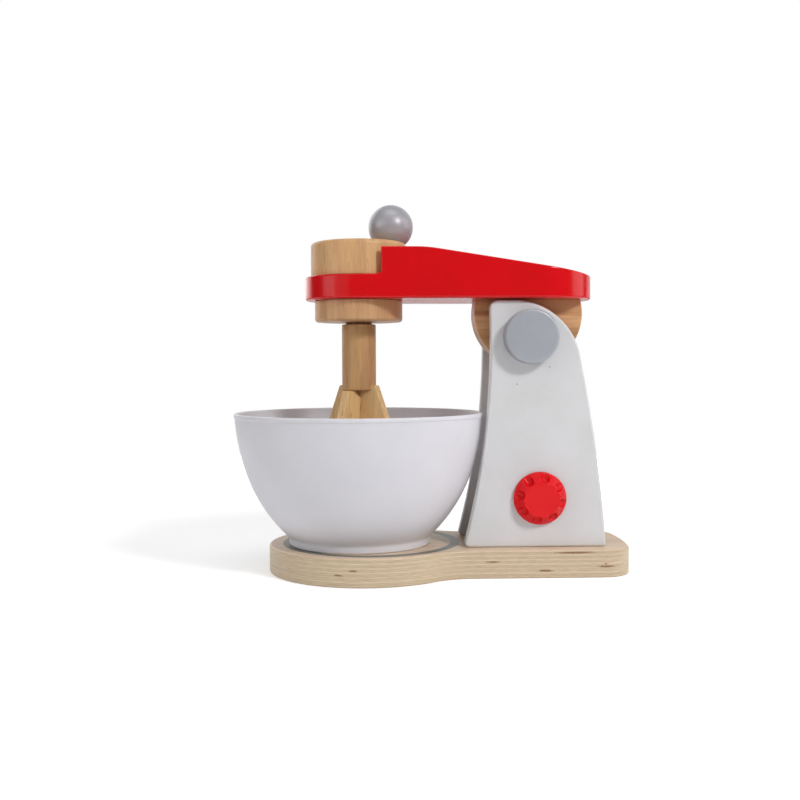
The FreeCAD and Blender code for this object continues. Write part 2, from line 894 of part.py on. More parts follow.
def is_upper_arm_edge(edge):
    """An edge round the ledge, the block or the top of the recess wall, but no seam up a side."""
    middle = edge.valueAt((edge.FirstParameter + edge.LastParameter) / 2)
    ends = [vertex.Point for vertex in edge.Vertexes]
    seam = all(math.hypot(end.x - middle.x, end.y - middle.y) < SAME_PLACE for end in ends)
    if seam or near(middle.z, "0"):
        return False
    on_side = near(abs(middle.y), "arm_half_width")
    on_tail = near(math.hypot(middle.x - number("arm_tail_x - arm_half_width"), middle.y), "arm_half_width")
    on_nose = near(math.hypot(middle.x - number("arm_nose_x + arm_half_width"), middle.y), "arm_half_width")
    on_wall = near(math.hypot(middle.x, middle.y), "arm_wall_radius")
    above_foot = middle.z > number("arm_ledge + arm_inner_round")
    return on_side or on_tail or on_nose or (on_wall and above_foot)


# ---------------------------------------------------------------- mixing head


def make_head_upper():
    body = turned_body("head_upper", "head_upper_radius", "head_upper_height", z=f"{LEDGE_TOP} + face_gap")
    fillet(
        body,
        "head_upper_rounding",
        "head_upper_round",
        lambda edge: is_circle(edge, "head_upper_radius") and lies_level(edge, "z", "head_upper_height"),
    )
    remove_solid(
        body, "Cylinder", "head_upper_bore", Radius="spindle_radius + glue_gap", Height="spindle_head_depth"
    )
    remove_solid(
        body,
        "Cylinder",
        "head_peg_bore",
        "crank_radius * cos(crank_turn * 1deg)",
        "crank_radius * sin(crank_turn * 1deg)",
        "head_upper_height - peg_head_depth",
        Radius="peg_radius + glue_gap",
        Height="peg_head_depth",
    )
    return body


def make_head_lower():
    body = turned_body("head_lower", "head_lower_radius", "head_lower_height", z=HEAD_BOTTOM)
    fillet(
        body,
        "head_lower_rounding",
        "head_lower_round",
        lambda edge: is_circle(edge, "head_lower_radius") and lies_level(edge, "z", "0"),
    )
    remove_solid(
        body, "Cylinder", "head_lower_bore", Radius="spindle_radius + glue_gap", Height="head_lower_height"
    )
    return body


def make_head_spindle():
    start = f"({SHAFT_TOP} - spindle_shaft_depth + glue_gap)"
    end = f"({LEDGE_TOP} + face_gap + spindle_head_depth - glue_gap)"
    return turned_body("head_spindle", "spindle_radius", f"{end} - {start}", z=start)


def make_crank_ball():
    ball = doc.addObject("Part::Sphere", "ball_blank")
    tie(ball, Radius="ball_radius", Angle1="-asin(ball_rise / ball_radius)")
    crank_x = "crank_radius * cos(crank_turn * 1deg)"
    crank_y = "crank_radius * sin(crank_turn * 1deg)"
    place(ball, crank_x, crank_y, f"{HEAD_TOP} + ball_rise")
    bore = doc.addObject("Part::Cylinder", "ball_bore")
    tie(bore, Radius="peg_radius + glue_gap", Height="peg_ball_depth")
    place(bore, crank_x, crank_y, HEAD_TOP)
    drilled = doc.addObject("Part::Cut", "crank_ball")
    drilled.Label = "crank_ball"
    drilled.Base = ball
    drilled.Tool = bore
    doc.recompute()
    return drilled


def make_crank_peg():
    return turned_body(
        "crank_peg",
        "peg_radius",
        "peg_head_depth + peg_ball_depth - 2 * glue_gap",
        "crank_radius * cos(crank_turn * 1deg)",
        "crank_radius * sin(crank_turn * 1deg)",
        f"{HEAD_TOP} - peg_head_depth + glue_gap",
    )


# ---------------------------------------------------------------- whisk

BLADE_A_TOP = f"({SHAFT_BOTTOM} + blade_slot_rise)"
BLADE_B_TOP = f"({SHAFT_BOTTOM} - blade_drop)"
FLARE_END_Z = f"({BLADE_A_TOP} - blade_flare_drop)"
FLARE_SLOPE = "tan(blade_flare_turn * 1deg)"
FLARE_END = f"(blade_waist + {FLARE_SLOPE} * blade_flare_drop)"
BELLY_X = f"({FLARE_END} - blade_belly * cos(blade_flare_turn * 1deg))"
BELLY_Z = f"({FLARE_END_Z} - blade_belly * sin(blade_flare_turn * 1deg))"
BLADE_BOTTOM = f"({BELLY_Z} - blade_belly)"
BLADE_MIDDLE = f"(({BLADE_A_TOP} + {BLADE_BOTTOM}) / 2)"


def make_whisk_shaft():
    body = turned_body("whisk_shaft", "whisk_shaft_radius", "whisk_shaft_length", z=SHAFT_BOTTOM)
    fillet(
        body,
        "whisk_shaft_rounding",
        "whisk_shaft_round",
        lambda edge: is_circle(edge, "whisk_shaft_radius"),
    )
    remove_solid(
        body,
        "Cylinder",
        "whisk_shaft_bore",
        z="whisk_shaft_length - spindle_shaft_depth",
        Radius="spindle_radius + glue_gap",
        Height="spindle_shaft_depth",
    )
    slot_half = "(blade_thickness / 2 + glue_gap)"
    heading = "(blade_turn + 90) * 1deg"
    remove_solid(
        body,
        "Box",
        "whisk_shaft_slot",
        f"-whisk_shaft_radius * cos({heading}) + {slot_half} * sin({heading})",
        f"-whisk_shaft_radius * sin({heading}) - {slot_half} * cos({heading})",
        rotation=((0, 0, 1), number("blade_turn + 90")),
        Length="2 * whisk_shaft_radius",
        Width=f"2 * {slot_half}",
        Height="blade_slot_rise + glue_gap",
    )
    return body


def make_blade(label, top, heading, slot_from_top):
    """One flat blade of the whisk, which laps over the other at a slot half way."""
    body = new_body(label)
    turn(body, (0, 0, 1), number(heading))
    top_half = f"(blade_waist + {FLARE_SLOPE} * ({BLADE_A_TOP} - {top}))"
    sketch = new_sketch(body, "XZ_Plane", f"{label}_outline")
    draw_outline(
        sketch,
        [
            (f"-{BELLY_X}", BLADE_BOTTOM),
            (BELLY_X, BLADE_BOTTOM),
            (FLARE_END, FLARE_END_Z),
            (top_half, top),
            (f"-{top_half}", top),
            (f"-{FLARE_END}", FLARE_END_Z),
        ],
        {1: ("blade_belly", -1), 5: ("blade_belly", -1)},
    )
    pad(body, sketch, f"{label}_pad", "blade_thickness", symmetric=True)
    fillet(
        body,
        f"{label}_corners",
        "blade_corner",
        lambda edge: lies_level(edge, "z", top)
        and near(edge.Vertexes[0].Point.x, str(edge.Vertexes[-1].Point.x)),
    )
    fillet(
        body,
        f"{label}_rounding",
        "blade_edge_round",
        lambda edge: lies_level(edge, "y", "blade_thickness / 2")
        or lies_level(edge, "y", "-blade_thickness / 2"),
    )
    slot_half = "(blade_thickness / 2 + glue_gap)"
    if slot_from_top:
        mouth = f"({slot_half} + blade_mouth)"
        corners = [
            (f"-{slot_half}", f"{BLADE_MIDDLE} - glue_gap"),
            (slot_half, f"{BLADE_MIDDLE} - glue_gap"),
            (slot_half, f"{top} - blade_mouth"),
            (mouth, top),
            (mouth, f"{top} + blade_mouth"),
            (f"-{mouth}", f"{top} + blade_mouth"),
            (f"-{mouth}", top),
            (f"-{slot_half}", f"{top} - blade_mouth"),
        ]
    else:
        corners = [
            (f"-{slot_half}", f"{BLADE_BOTTOM} - blade_mouth"),
            (slot_half, f"{BLADE_BOTTOM} - blade_mouth"),
            (slot_half, f"{BLADE_MIDDLE} + glue_gap"),
            (f"-{slot_half}", f"{BLADE_MIDDLE} + glue_gap"),
        ]
    lap = new_sketch(body, "XZ_Plane", f"{label}_lap")
    draw_outline(lap, corners)
    pocket(body, lap, f"{label}_lap_cut", symmetric=True)
    return body


# ---------------------------------------------------------------- bowl


def make_bowl():
    body = new_body("mixing_bowl", "bowl_x", "bowl_y", "base_thickness + bowl_seat_gap")
    flare_x = "cos(bowl_mouth_flare * 1deg)"
    flare_z = "sin(bowl_mouth_flare * 1deg)"
    turn_x = "cos(bowl_arc_turn * 1deg)"
    turn_z = "sin(bowl_arc_turn * 1deg)"
    upper_x = f"(bowl_mouth_radius - bowl_upper_arc * {flare_x})"
    upper_z = f"(bowl_height + bowl_upper_arc * {flare_z})"
    lower_x = f"({upper_x} + (bowl_upper_arc - bowl_lower_arc) * {turn_x})"
    lower_z = f"({upper_z} - (bowl_upper_arc - bowl_lower_arc) * {turn_z})"
    floor_top = "(bowl_foot_height + bowl_floor)"
    lip_z = "(bowl_height - bowl_lip_height)"

    def upper_at(z, inset):
        return f"({upper_x} + sqrt((bowl_upper_arc - {inset})^2 - ({upper_z} - {z})^2))"

    def join(inset):
        return (
            f"{upper_x} + (bowl_upper_arc - {inset}) * {turn_x}",
            f"{upper_z} - (bowl_upper_arc - {inset}) * {turn_z}",
        )

    foot_shoulder = f"({lower_z} - sqrt(bowl_lower_arc^2 - (bowl_foot_radius - {lower_x})^2))"
    floor_radius = f"({lower_x} + sqrt((bowl_lower_arc - bowl_wall)^2 - ({lower_z} - {floor_top})^2))"
    lip_radius = "(bowl_mouth_radius + bowl_lip)"
    corners = [
        ("0", "bowl_foot_height"),
        ("bowl_foot_radius - bowl_foot_width", "bowl_foot_height"),
        ("bowl_foot_radius - bowl_foot_width", "0"),
        ("bowl_foot_radius", "0"),
        ("bowl_foot_radius", foot_shoulder),
        join("0"),
        (upper_at(lip_z, "0"), lip_z),
        (lip_radius, f"{lip_z} + bowl_lip"),
        (lip_radius, "bowl_height"),
        (upper_at("bowl_height", "bowl_wall"), "bowl_height"),
        join("bowl_wall"),
        (floor_radius, floor_top),
        ("0", floor_top),
    ]
    arcs = {
        4: ("bowl_lower_arc", -1),
        5: ("bowl_upper_arc", -1),
        9: ("bowl_upper_arc - bowl_wall", 1),
        10: ("bowl_lower_arc - bowl_wall", 1),
    }
    sketch = new_sketch(body, "XZ_Plane", "bowl_profile")
    draw_outline(sketch, corners, arcs)
    shell = feature(body, "Revolution", "bowl_shell")
    shell.Profile = sketch
    shell.ReferenceAxis = (origin_item(body, "Z_Axis"), [""])
    shell.Angle = 360
    doc.recompute()
    fillet(
        body,
        "bowl_lip_rounding",
        "bowl_lip_round",
        lambda edge: lies_level(edge, "z", "bowl_height") and isinstance(edge.Curve, Part.Circle),
    )
    return body


# ---------------------------------------------------------------- build, check and write

parts = [
    make_base_board(),
    make_panel("front_panel", -1),
    make_panel("rear_panel", 1),
    make_panel_spacer(),
    make_panel_dowels(),
    make_base_screws(),
    make_speed_knob(),
    make_knob_dowel(),
    make_knob_washer(),
    make_hinge_block(),
    make_arm_dowels(),
    make_hinge_axle(),
    make_axle_cap("front_axle_cap", -1),
    make_axle_cap("rear_axle_cap", 1),
    make_hinge_ring("front_hinge_ring", -1),
    make_hinge_ring("rear_hinge_ring", 1),
    make_arm(),
    make_head_upper(),
    make_head_lower(),
    make_head_spindle(),
    make_crank_ball(),
    make_crank_peg(),
    make_whisk_shaft(),
    make_blade("whisk_blade_a", BLADE_A_TOP, "blade_turn + 90", slot_from_top=False),
    make_blade("whisk_blade_b", BLADE_B_TOP, "blade_turn", slot_from_top=True),
    make_bowl(),
]
doc.recompute()

for item in doc.Objects:
    if "Invalid" in item.State or "Error" in item.State:
        raise RuntimeError(f"{item.Label} failed: {item.State}")
for part in parts:
    if part.Shape.isNull() or not part.Shape.isValid():
        raise RuntimeError(f"{part.Label} has no valid shape")

os.makedirs("parts", exist_ok=True)
for part in parts:
    part.Shape.exportStep(f"parts/{part.Label}.step")
    print(f"{part.Label}: {len(part.Shape.Solids)} solid(s), {part.Shape.Volume / 1000:.2f} cm3")
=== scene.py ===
import json
import math

import bmesh
import bpy
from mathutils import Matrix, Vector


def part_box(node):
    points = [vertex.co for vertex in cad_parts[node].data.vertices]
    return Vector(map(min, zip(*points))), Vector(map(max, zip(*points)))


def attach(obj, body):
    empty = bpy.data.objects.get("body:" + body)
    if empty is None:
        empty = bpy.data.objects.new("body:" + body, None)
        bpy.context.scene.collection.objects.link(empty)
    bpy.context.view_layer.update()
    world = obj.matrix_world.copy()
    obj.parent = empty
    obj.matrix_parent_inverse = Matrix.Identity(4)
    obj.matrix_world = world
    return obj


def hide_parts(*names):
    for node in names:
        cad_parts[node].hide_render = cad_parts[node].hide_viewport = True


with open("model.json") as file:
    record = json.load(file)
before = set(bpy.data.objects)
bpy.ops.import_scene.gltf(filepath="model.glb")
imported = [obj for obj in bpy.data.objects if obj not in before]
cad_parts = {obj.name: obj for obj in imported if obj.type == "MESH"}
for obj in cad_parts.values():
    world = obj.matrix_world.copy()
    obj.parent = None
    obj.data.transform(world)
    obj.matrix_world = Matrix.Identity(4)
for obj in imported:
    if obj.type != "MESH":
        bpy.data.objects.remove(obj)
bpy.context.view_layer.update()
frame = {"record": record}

MM = 0.001

# ---------------------------------------------------------------- node tools


def linear(hex_colour):
    """An sRGB hex colour as linear RGBA."""
    channels = [int(hex_colour[i : i + 2], 16) / 255 for i in (1, 3, 5)]
    return (*(c / 12.92 if c <= 0.04045 else ((c + 0.055) / 1.055) ** 2.4 for c in channels), 1.0)


def tone(level):
    """A grey factor that a colour is multiplied by."""
    return (level, level, level, 1.0)


def add(tree, kind, inputs=None, stops=None, **settings):
    """Adds one node with its settings; an input is a value or another node's output.

    Inputs that share a name go by their number: on a colour Mix the factor is 0 and the two
    colours are 6 and 7, and on a number Mix the two numbers are 2 and 3.
    """
    node = tree.nodes.new(kind)
    for name, value in settings.items():
        setattr(node, name, value)
    for key, value in (inputs or {}).items():
        if isinstance(value, bpy.types.NodeSocket):
            tree.links.new(value, node.inputs[key])
        else:
            node.inputs[key].default_value = value
    for index, (position, colour) in enumerate(stops or ()):
        elements = node.color_ramp.elements
        element = elements[index] if index < 2 else elements.new(position)
        element.position = position
        element.color = colour
    return node


def new_material(name):
    material = bpy.data.materials.new(name)
    material.use_nodes = True
    material.node_tree.nodes.clear()
    return material, material.node_tree


def finish_material(tree, shader):
    add(tree, "ShaderNodeOutputMaterial", {"Surface": shader.outputs[0]})


# marks lie only where a face is this many millimetres out towards the knob side
MARKS_FROM = 20.0
# a mark is whole up to the first share of its half sizes, has faded out at the second, and its
# edge wanders in and out by about the third
MARK_WHOLE = 0.5
MARK_FADED = 1.1
MARK_BITES = 0.25


def marks(tree, place, spots):
    """Small elliptical marks on the faces towards the knob side, with bitten edges.

    A spot is its middle x and z and its half length and half height, all in millimetres.
    """
    # bites about 1 mm wide; this noise is 0.5 on average, and adds 2 * MARK_BITES to the reach
    bites = add(tree, "ShaderNodeTexNoise", {"Vector": place, "Scale": 900.0, "Detail": 2.0})
    outwards = add(
        tree,
        "ShaderNodeVectorMath",
        {0: place, 1: (0.0, -1.0, 0.0)},
        operation="DOT_PRODUCT",
    )
    on_front = add(
        tree,
        "ShaderNodeMath",
        {0: outwards.outputs[1], 1: MARKS_FROM * MM},
        operation="GREATER_THAN",
    )
    total = None
    for x, z, half_length, half_height in spots:
        offset = add(
            tree,
            "ShaderNodeVectorMath",
            {0: place, 1: (x * MM, 0.0, z * MM)},
            operation="SUBTRACT",
        )
        scaled = add(
            tree,
            "ShaderNodeVectorMath",
            {0: offset.outputs[0], 1: (1 / (half_length * MM), 0.0, 1 / (half_height * MM))},
            operation="MULTIPLY",
        )
        reach = add(tree, "ShaderNodeVectorMath", {0: scaled.outputs[0]}, operation="LENGTH")
        edge = add(
            tree,
            "ShaderNodeMath",
            {0: bites.outputs[0], 1: 4 * MARK_BITES, 2: reach.outputs[1]},
            operation="MULTIPLY_ADD",
        )
        spot = add(
            tree,
            "ShaderNodeMapRange",
            {
                "Value": edge.outputs[0],
                "From Min": MARK_FADED + 2 * MARK_BITES,
                "From Max": MARK_WHOLE + 2 * MARK_BITES,
            },
        ).outputs[0]
        if total is not None:
            spot = add(tree, "ShaderNodeMath", {0: total, 1: spot}, operation="MAXIMUM").outputs[0]
        total = spot
    shown = add(tree, "ShaderNodeMath", {0: total, 1: on_front.outputs[0]}, operation="MULTIPLY")
    return shown.outputs[0]


# ---------------------------------------------------------------- finishes

# factors on a place that draw a pattern out along the grain, and a little along the growth layers
ALONG = {"X": (0.06, 0.35, 1.0), "Y": (1.0, 0.06, 0.35), "Z": (1.0, 0.35, 0.06)}
FLECK_BROWN = "#9C7150"
# the grey of primer where enamel is nicked
NICK_GREY = "#8C8A8C"
# how far an enamel's roughness drifts to either side
ENAMEL_DRIFT = 0.04


def lacquered_hardwood(name, grain, pale, dark, seed):
    """Close-grained hardwood, turned or sanded, under clear satin lacquer.

    It gives soft pale and darker bands along the grain, fine fibres and short brown flecks.
    """
    material, tree = new_material(name)
    place = add(tree, "ShaderNodeTexCoord").outputs["Object"]
    moved = add(tree, "ShaderNodeMapping", {"Vector": place, "Location": seed})
    drawn_out = add(
        tree,
        "ShaderNodeVectorMath",
        {0: moved.outputs[0], 1: ALONG[grain]},
        operation="MULTIPLY",
    ).outputs[0]
    # growth bands about 8 mm wide
    bands = add(
        tree,
        "ShaderNodeTexNoise",
        {"Vector": drawn_out, "Scale": 120.0, "Detail": 3.0, "Roughness": 0.5, "Distortion": 0.5},
    )
    # single fibres, drawn 1 mm wide so that they show
    fibres = add(
        tree,
        "ShaderNodeTexNoise",
        {"Vector": drawn_out, "Scale": 950.0, "Detail": 3.0, "Roughness": 0.6},
    )
    # flecks: sparse dashes about 0.7 mm wide and 11 mm long
    dashes = add(
        tree,
        "ShaderNodeTexNoise",
        {"Vector": drawn_out, "Scale": 1500.0, "Detail": 1.0, "Roughness": 0.4},
    )
    colour = add(
        tree,
        "ShaderNodeValToRGB",
        {"Fac": bands.outputs[0]},
        stops=[(0.36, linear(dark)), (0.6, linear(pale))],
    )
    fibre_tone = add(
        tree,
        "ShaderNodeValToRGB",
        {"Fac": fibres.outputs[0]},
        stops=[(0.3, tone(0.88)), (0.7, tone(1.07))],
    )
    fleck_share = add(
        tree,
        "ShaderNodeMapRange",
        {
            "Value": dashes.outputs[0],
            "From Min": 0.36,
            "From Max": 0.28,
            "To Min": 0.0,
            "To Max": 0.5,
        },
    )
    with_fibres = add(
        tree,
        "ShaderNodeMix",
        {0: 1.0, 6: colour.outputs[0], 7: fibre_tone.outputs[0]},
        data_type="RGBA",
        blend_type="MULTIPLY",
    )
    shown = add(
        tree,
        "ShaderNodeMix",
        {0: fleck_share.outputs[0], 6: with_fibres.outputs[2], 7: linear(FLECK_BROWN)},
        data_type="RGBA",
    )
    rough = add(
        tree,
        "ShaderNodeMapRange",
        {
            "Value": fibres.outputs[0],
            "From Min": 0.3,
            "From Max": 0.7,
            "To Min": 0.55,
            "To Max": 0.45,
        },
    )
    bump = add(
        tree,
        "ShaderNodeBump",
        {"Strength": 0.2, "Distance": 0.03 * MM, "Height": fibres.outputs[0]},
    )
    shader = add(
        tree,
        "ShaderNodeBsdfPrincipled",
        {
            "Base Color": shown.outputs[2],
            "Roughness": rough.outputs[0],
            "IOR": 1.5,
            "Coat Weight": 0.1,
            "Coat Roughness": 0.25,
            "Normal": bump.outputs[0],
        },
    )
    finish_material(tree, shader)
    return material


def brushed_enamel(name, colour, worn, roughness, gloss, coat=0.0, metallic=0.0, spots=()):
    """Enamel brushed or sprayed on sanded wood.

    It gives an even colour that drifts a little, a faint orange peel and a few specks of dust.
    Silver enamel holds a little metal flake. Spots are nicks on the side towards the knob.
    """
    material, tree = new_material(name)
    place = add(tree, "ShaderNodeTexCoord").outputs["Object"]
    # thicker and thinner paint, in clouds about 25 mm wide
    clouds = add(
        tree,
        "ShaderNodeTexNoise",
        {"Vector": place, "Scale": 40.0, "Detail": 4.0, "Roughness": 0.6},
    )
    # orange peel, about 1.5 mm from hump to hump
    peel = add(
        tree,
        "ShaderNodeTexNoise",
        {"Vector": place, "Scale": 650.0, "Detail": 2.0, "Roughness": 0.5},
    )
    # specks of dust under the paint, 0.6 mm wide and about 8 mm apart
    dust = add(tree, "ShaderNodeTexVoronoi", {"Vector": place, "Scale": 130.0, "Randomness": 1.0})
    base = add(
        tree,
        "ShaderNodeValToRGB",
        {"Fac": clouds.outputs[0]},
        stops=[(0.35, linear(worn)), (0.62, linear(colour))],
    )
    speck = add(
        tree,
        "ShaderNodeValToRGB",
        {"Fac": dust.outputs[0]},
        stops=[(0.035, tone(0.93)), (0.06, tone(1.0))],
    )
    shown = add(
        tree,
        "ShaderNodeMix",
        {0: 1.0, 6: base.outputs[0], 7: speck.outputs[0]},
        data_type="RGBA",
        blend_type="MULTIPLY",
    ).outputs[2]
    if spots:
        shown = add(
            tree,
            "ShaderNodeMix",
            {0: marks(tree, place, spots), 6: shown, 7: linear(NICK_GREY)},
            data_type="RGBA",
        ).outputs[2]
    rough = add(
        tree,
        "ShaderNodeMapRange",
        {
            "Value": clouds.outputs[0],
            "From Min": 0.3,
            "From Max": 0.7,
            "To Min": roughness + ENAMEL_DRIFT,
            "To Max": roughness - ENAMEL_DRIFT,
        },
    )
    bump = add(
        tree,
        "ShaderNodeBump",
        {"Strength": 0.15, "Distance": 0.03 * MM, "Height": peel.outputs[0]},
    )
    shader = add(
        tree,
        "ShaderNodeBsdfPrincipled",
        {
            "Base Color": shown,
            "Metallic": metallic,
            "Roughness": rough.outputs[0],
            "IOR": 1.5,
            "Specular IOR Level": gloss,
            "Coat Weight": coat,
            "Coat Roughness": 0.15,
            "Normal": bump.outputs[0],
        },
    )
    finish_material(tree, shader)
    return material


# the board's plies in millimetres, and how far up the lowest glue line is, in plies
PLY = 18.0 / 13
PLY_WAVE = 0.35
PLY_SHIFT = 0.33
# voids and knots in the board's edge towards the knob side
PLY_VOIDS = (
    (136.2, 16.3, 14.5, 0.8),
    (84.4, 10.77, 5.2, 0.55),
    (117.8, 4.9, 5.4, 0.8),
    (156.8, 7.3, 6.2, 0.8),
    (156.3, 8.84, 0.8, 0.7),
    (-12.9, 7.8, 3.2, 0.6),
    (2.4, 18.5, 0.8, 0.6),
    (-3.7, 10.7, 3.0, 0.6),
)
# the painted ring that shows where the bowl goes, in millimetres
RING_X = 7.7
RING_RADIUS = 55.55
RING_HALF_WIDTH = 3.1
RING_BLUR = 0.15


def ply_edge_colour(tree, place, normal, fibres):
    """Thirteen pale plies, every other one cut across its fibres, with thin glue lines, and
    painted contact shade along the lowest edge.
    """
    spot = add(tree, "ShaderNodeSeparateXYZ", {0: place})
    # the plies wave a little over 80 mm or so, because veneers are never quite even
    drift = add(tree, "ShaderNodeTexNoise", {"Vector": place, "Scale": 12.0, "Detail": 1.0})
    level = add(
        tree,
        "ShaderNodeMath",
        {0: drift.outputs[0], 1: PLY_WAVE * MM, 2: spot.outputs[2]},
        operation="MULTIPLY_ADD",
    )
    count = add(tree, "ShaderNodeMath", {0: level.outputs[0], 1: PLY * MM}, operation="DIVIDE")
    shifted = add(
        tree,
        "ShaderNodeMath",
        {0: count.outputs[0], 1: PLY_SHIFT},
        operation="SUBTRACT",
    )
    in_ply = add(tree, "ShaderNodeMath", {0: shifted.outputs[0]}, operation="FRACT")
    ply_number = add(tree, "ShaderNodeMath", {0: shifted.outputs[0]}, operation="FLOOR").outputs[0]
    crossed = add(tree, "ShaderNodeMath", {0: ply_number, 1: 2.0}, operation="FLOORED_MODULO")
    from_middle = add(tree, "ShaderNodeMath", {0: in_ply.outputs[0], 1: 0.5}, operation="SUBTRACT")
    to_glue = add(tree, "ShaderNodeMath", {0: from_middle.outputs[0]}, operation="ABSOLUTE")
    glue = add(
        tree,
        "ShaderNodeMapRange",
        {
            "Value": to_glue.outputs[0],
            "From Min": 0.38,
            "From Max": 0.5,
            "To Min": 0.0,
            "To Max": 0.55,
        },
    )
    # fibres run along X in the long plies and along Y in the crossed ones
    cut_x = add(tree, "ShaderNodeMath", {0: normal.outputs[0], 1: 2.0}, operation="POWER")
    cut_y = add(tree, "ShaderNodeMath", {0: normal.outputs[1], 1: 2.0}, operation="POWER")
    across = add(
        tree,
        "ShaderNodeMix",
        {0: crossed.outputs[0], 2: cut_x.outputs[0], 3: cut_y.outputs[0]},
    )
    long_colour = add(
        tree,
        "ShaderNodeValToRGB",
        {"Fac": fibres},
        stops=[(0.3, linear("#C6B094")), (0.7, linear("#DAC8AA"))],
    )
    cross_colour = add(
        tree,
        "ShaderNodeValToRGB",
        {"Fac": fibres},
        stops=[(0.3, linear("#BCA587")), (0.7, linear("#D1BD9E"))],
    )
    plies = add(
        tree,
        "ShaderNodeMix",
        {0: across.outputs[0], 6: long_colour.outputs[0], 7: cross_colour.outputs[0]},
        data_type="RGBA",
    )
    ply_shade = add(tree, "ShaderNodeTexWhiteNoise", {"W": ply_number}, noise_dimensions="1D")
    shade = add(
        tree,
        "ShaderNodeMapRange",
        {"Value": ply_shade.outputs[0], "To Min": 0.95, "To Max": 1.04},
    )
    shaded = add(
        tree,
        "ShaderNodeVectorMath",
        {0: plies.outputs[2], 3: shade.outputs[0]},
        operation="SCALE",
    )
    with_glue = add(
        tree,
        "ShaderNodeMix",
        {0: glue.outputs[0], 6: shaded.outputs[0], 7: linear("#96805F")},
        data_type="RGBA",
    )
    # painted contact shade: the lowest edge is darkened where the board meets the table
    lowest_edge_painted_shade = add(
        tree,
        "ShaderNodeMapRange",
        {
            "Value": spot.outputs[2],
            "From Min": 0.9 * MM,
            "From Max": 0.3 * MM,
            "To Min": 0.0,
            "To Max": 0.6,
        },
    )
    return add(
        tree,
        "ShaderNodeMix",
        {0: lowest_edge_painted_shade.outputs[0], 6: with_glue.outputs[2], 7: linear("#7A5B40")},
        data_type="RGBA",
    ).outputs[2]


def ring_share(tree, place):
    """1 on the painted ring and 0 beside it."""
    from_centre = add(
        tree,
        "ShaderNodeVectorMath",
        {0: place, 1: (RING_X * MM, 0.0, 0.0)},
        operation="SUBTRACT",
    )
    flat = add(
        tree,
        "ShaderNodeVectorMath",
        {0: from_centre.outputs[0], 1: (1.0, 1.0, 0.0)},
        operation="MULTIPLY",
    )
    radius = add(tree, "ShaderNodeVectorMath", {0: flat.outputs[0]}, operation="LENGTH")
    past_line = add(
        tree,
        "ShaderNodeMath",
        {0: radius.outputs[1], 1: RING_RADIUS * MM},
        operation="SUBTRACT",
    )
    off_line = add(tree, "ShaderNodeMath", {0: past_line.outputs[0]}, operation="ABSOLUTE")
    return add(
        tree,
        "ShaderNodeMapRange",
        {
            "Value": off_line.outputs[0],
            "From Min": (RING_HALF_WIDTH + RING_BLUR) * MM,
            "From Max": (RING_HALF_WIDTH - RING_BLUR) * MM,
        },
    ).outputs[0]


def birch_plywood(name):
    """Birch board of thirteen plies, sanded and clear coated.

    The edge shows its plies with a few brown voids, and the top one veneer with soft figure
    and a dark painted ring.
    """
    material, tree = new_material(name)
    coordinates = add(tree, "ShaderNodeTexCoord")
    place = coordinates.outputs["Object"]
    normal = add(tree, "ShaderNodeSeparateXYZ", {0: coordinates.outputs["Normal"]})
    # fibres on the edge, drawn out along it and 0.7 mm high
    edge_place = add(
        tree,
        "ShaderNodeVectorMath",
        {0: place, 1: (0.1, 0.1, 1.0)},
        operation="MULTIPLY",
    )
    fibres = add(
        tree,
        "ShaderNodeTexNoise",
        {"Vector": edge_place.outputs[0], "Scale": 1500.0, "Detail": 4.0, "Roughness": 0.6},
    ).outputs[0]
    void = marks(tree, place, PLY_VOIDS)
    void_share = add(tree, "ShaderNodeMath", {0: void, 1: 0.85}, operation="MULTIPLY")
    edge_colour = add(
        tree,
        "ShaderNodeMix",
        {
            0: void_share.outputs[0],
            6: ply_edge_colour(tree, place, normal, fibres),
            7: linear("#7D4E2A"),
        },
        data_type="RGBA",
    )
    # the face veneer, whose figure runs along X in bands about 4 mm wide
    face_place = add(
        tree,
        "ShaderNodeVectorMath",
        {0: place, 1: (0.1, 1.0, 1.0)},
        operation="MULTIPLY",
    )
    figure = add(
        tree,
        "ShaderNodeTexNoise",
        {
            "Vector": face_place.outputs[0],
            "Scale": 260.0,
            "Detail": 5.0,
            "Roughness": 0.6,
            "Distortion": 0.4,
        },
    ).outputs[0]
    face_colour = add(
        tree,
        "ShaderNodeValToRGB",
        {"Fac": figure},
        stops=[(0.35, linear("#CFB397")), (0.62, linear("#DCC4A8"))],
    ).outputs[0]
    ring_paint = add(
        tree,
        "ShaderNodeValToRGB",
        {"Fac": figure},
        stops=[(0.35, linear("#5F5F56")), (0.65, linear("#727268"))],
    )
    ringed = add(
        tree,
        "ShaderNodeMix",
        {0: ring_share(tree, place), 6: face_colour, 7: ring_paint.outputs[0]},
        data_type="RGBA",
    )
    is_top = add(
        tree,
        "ShaderNodeMapRange",
        {"Value": normal.outputs[2], "From Min": 0.55, "From Max": 0.85},
    )
    is_bottom = add(
        tree,
        "ShaderNodeMapRange",
        {"Value": normal.outputs[2], "From Min": -0.55, "From Max": -0.85},
    )
    with_top = add(
        tree,
        "ShaderNodeMix",
        {0: is_top.outputs[0], 6: edge_colour.outputs[2], 7: ringed.outputs[2]},
        data_type="RGBA",
    )
    shown = add(
        tree,
        "ShaderNodeMix",
        {0: is_bottom.outputs[0], 6: with_top.outputs[2], 7: face_colour},
        data_type="RGBA",
    )
    height = add(tree, "ShaderNodeMath", {0: fibres, 1: void}, operation="SUBTRACT")
    bump = add(
        tree,
        "ShaderNodeBump",
        {"Strength": 0.4, "Distance": 0.06 * MM, "Height": height.outputs[0]},
    )
    shader = add(
        tree,
        "ShaderNodeBsdfPrincipled",
        {
            "Base Color": shown.outputs[2],
            "Roughness": 0.5,
            "IOR": 1.5,
            "Coat Weight": 0.2,
            "Coat Roughness": 0.3,
            "Normal": bump.outputs[0],
        },
    )
    finish_material(tree, shader)
    return material


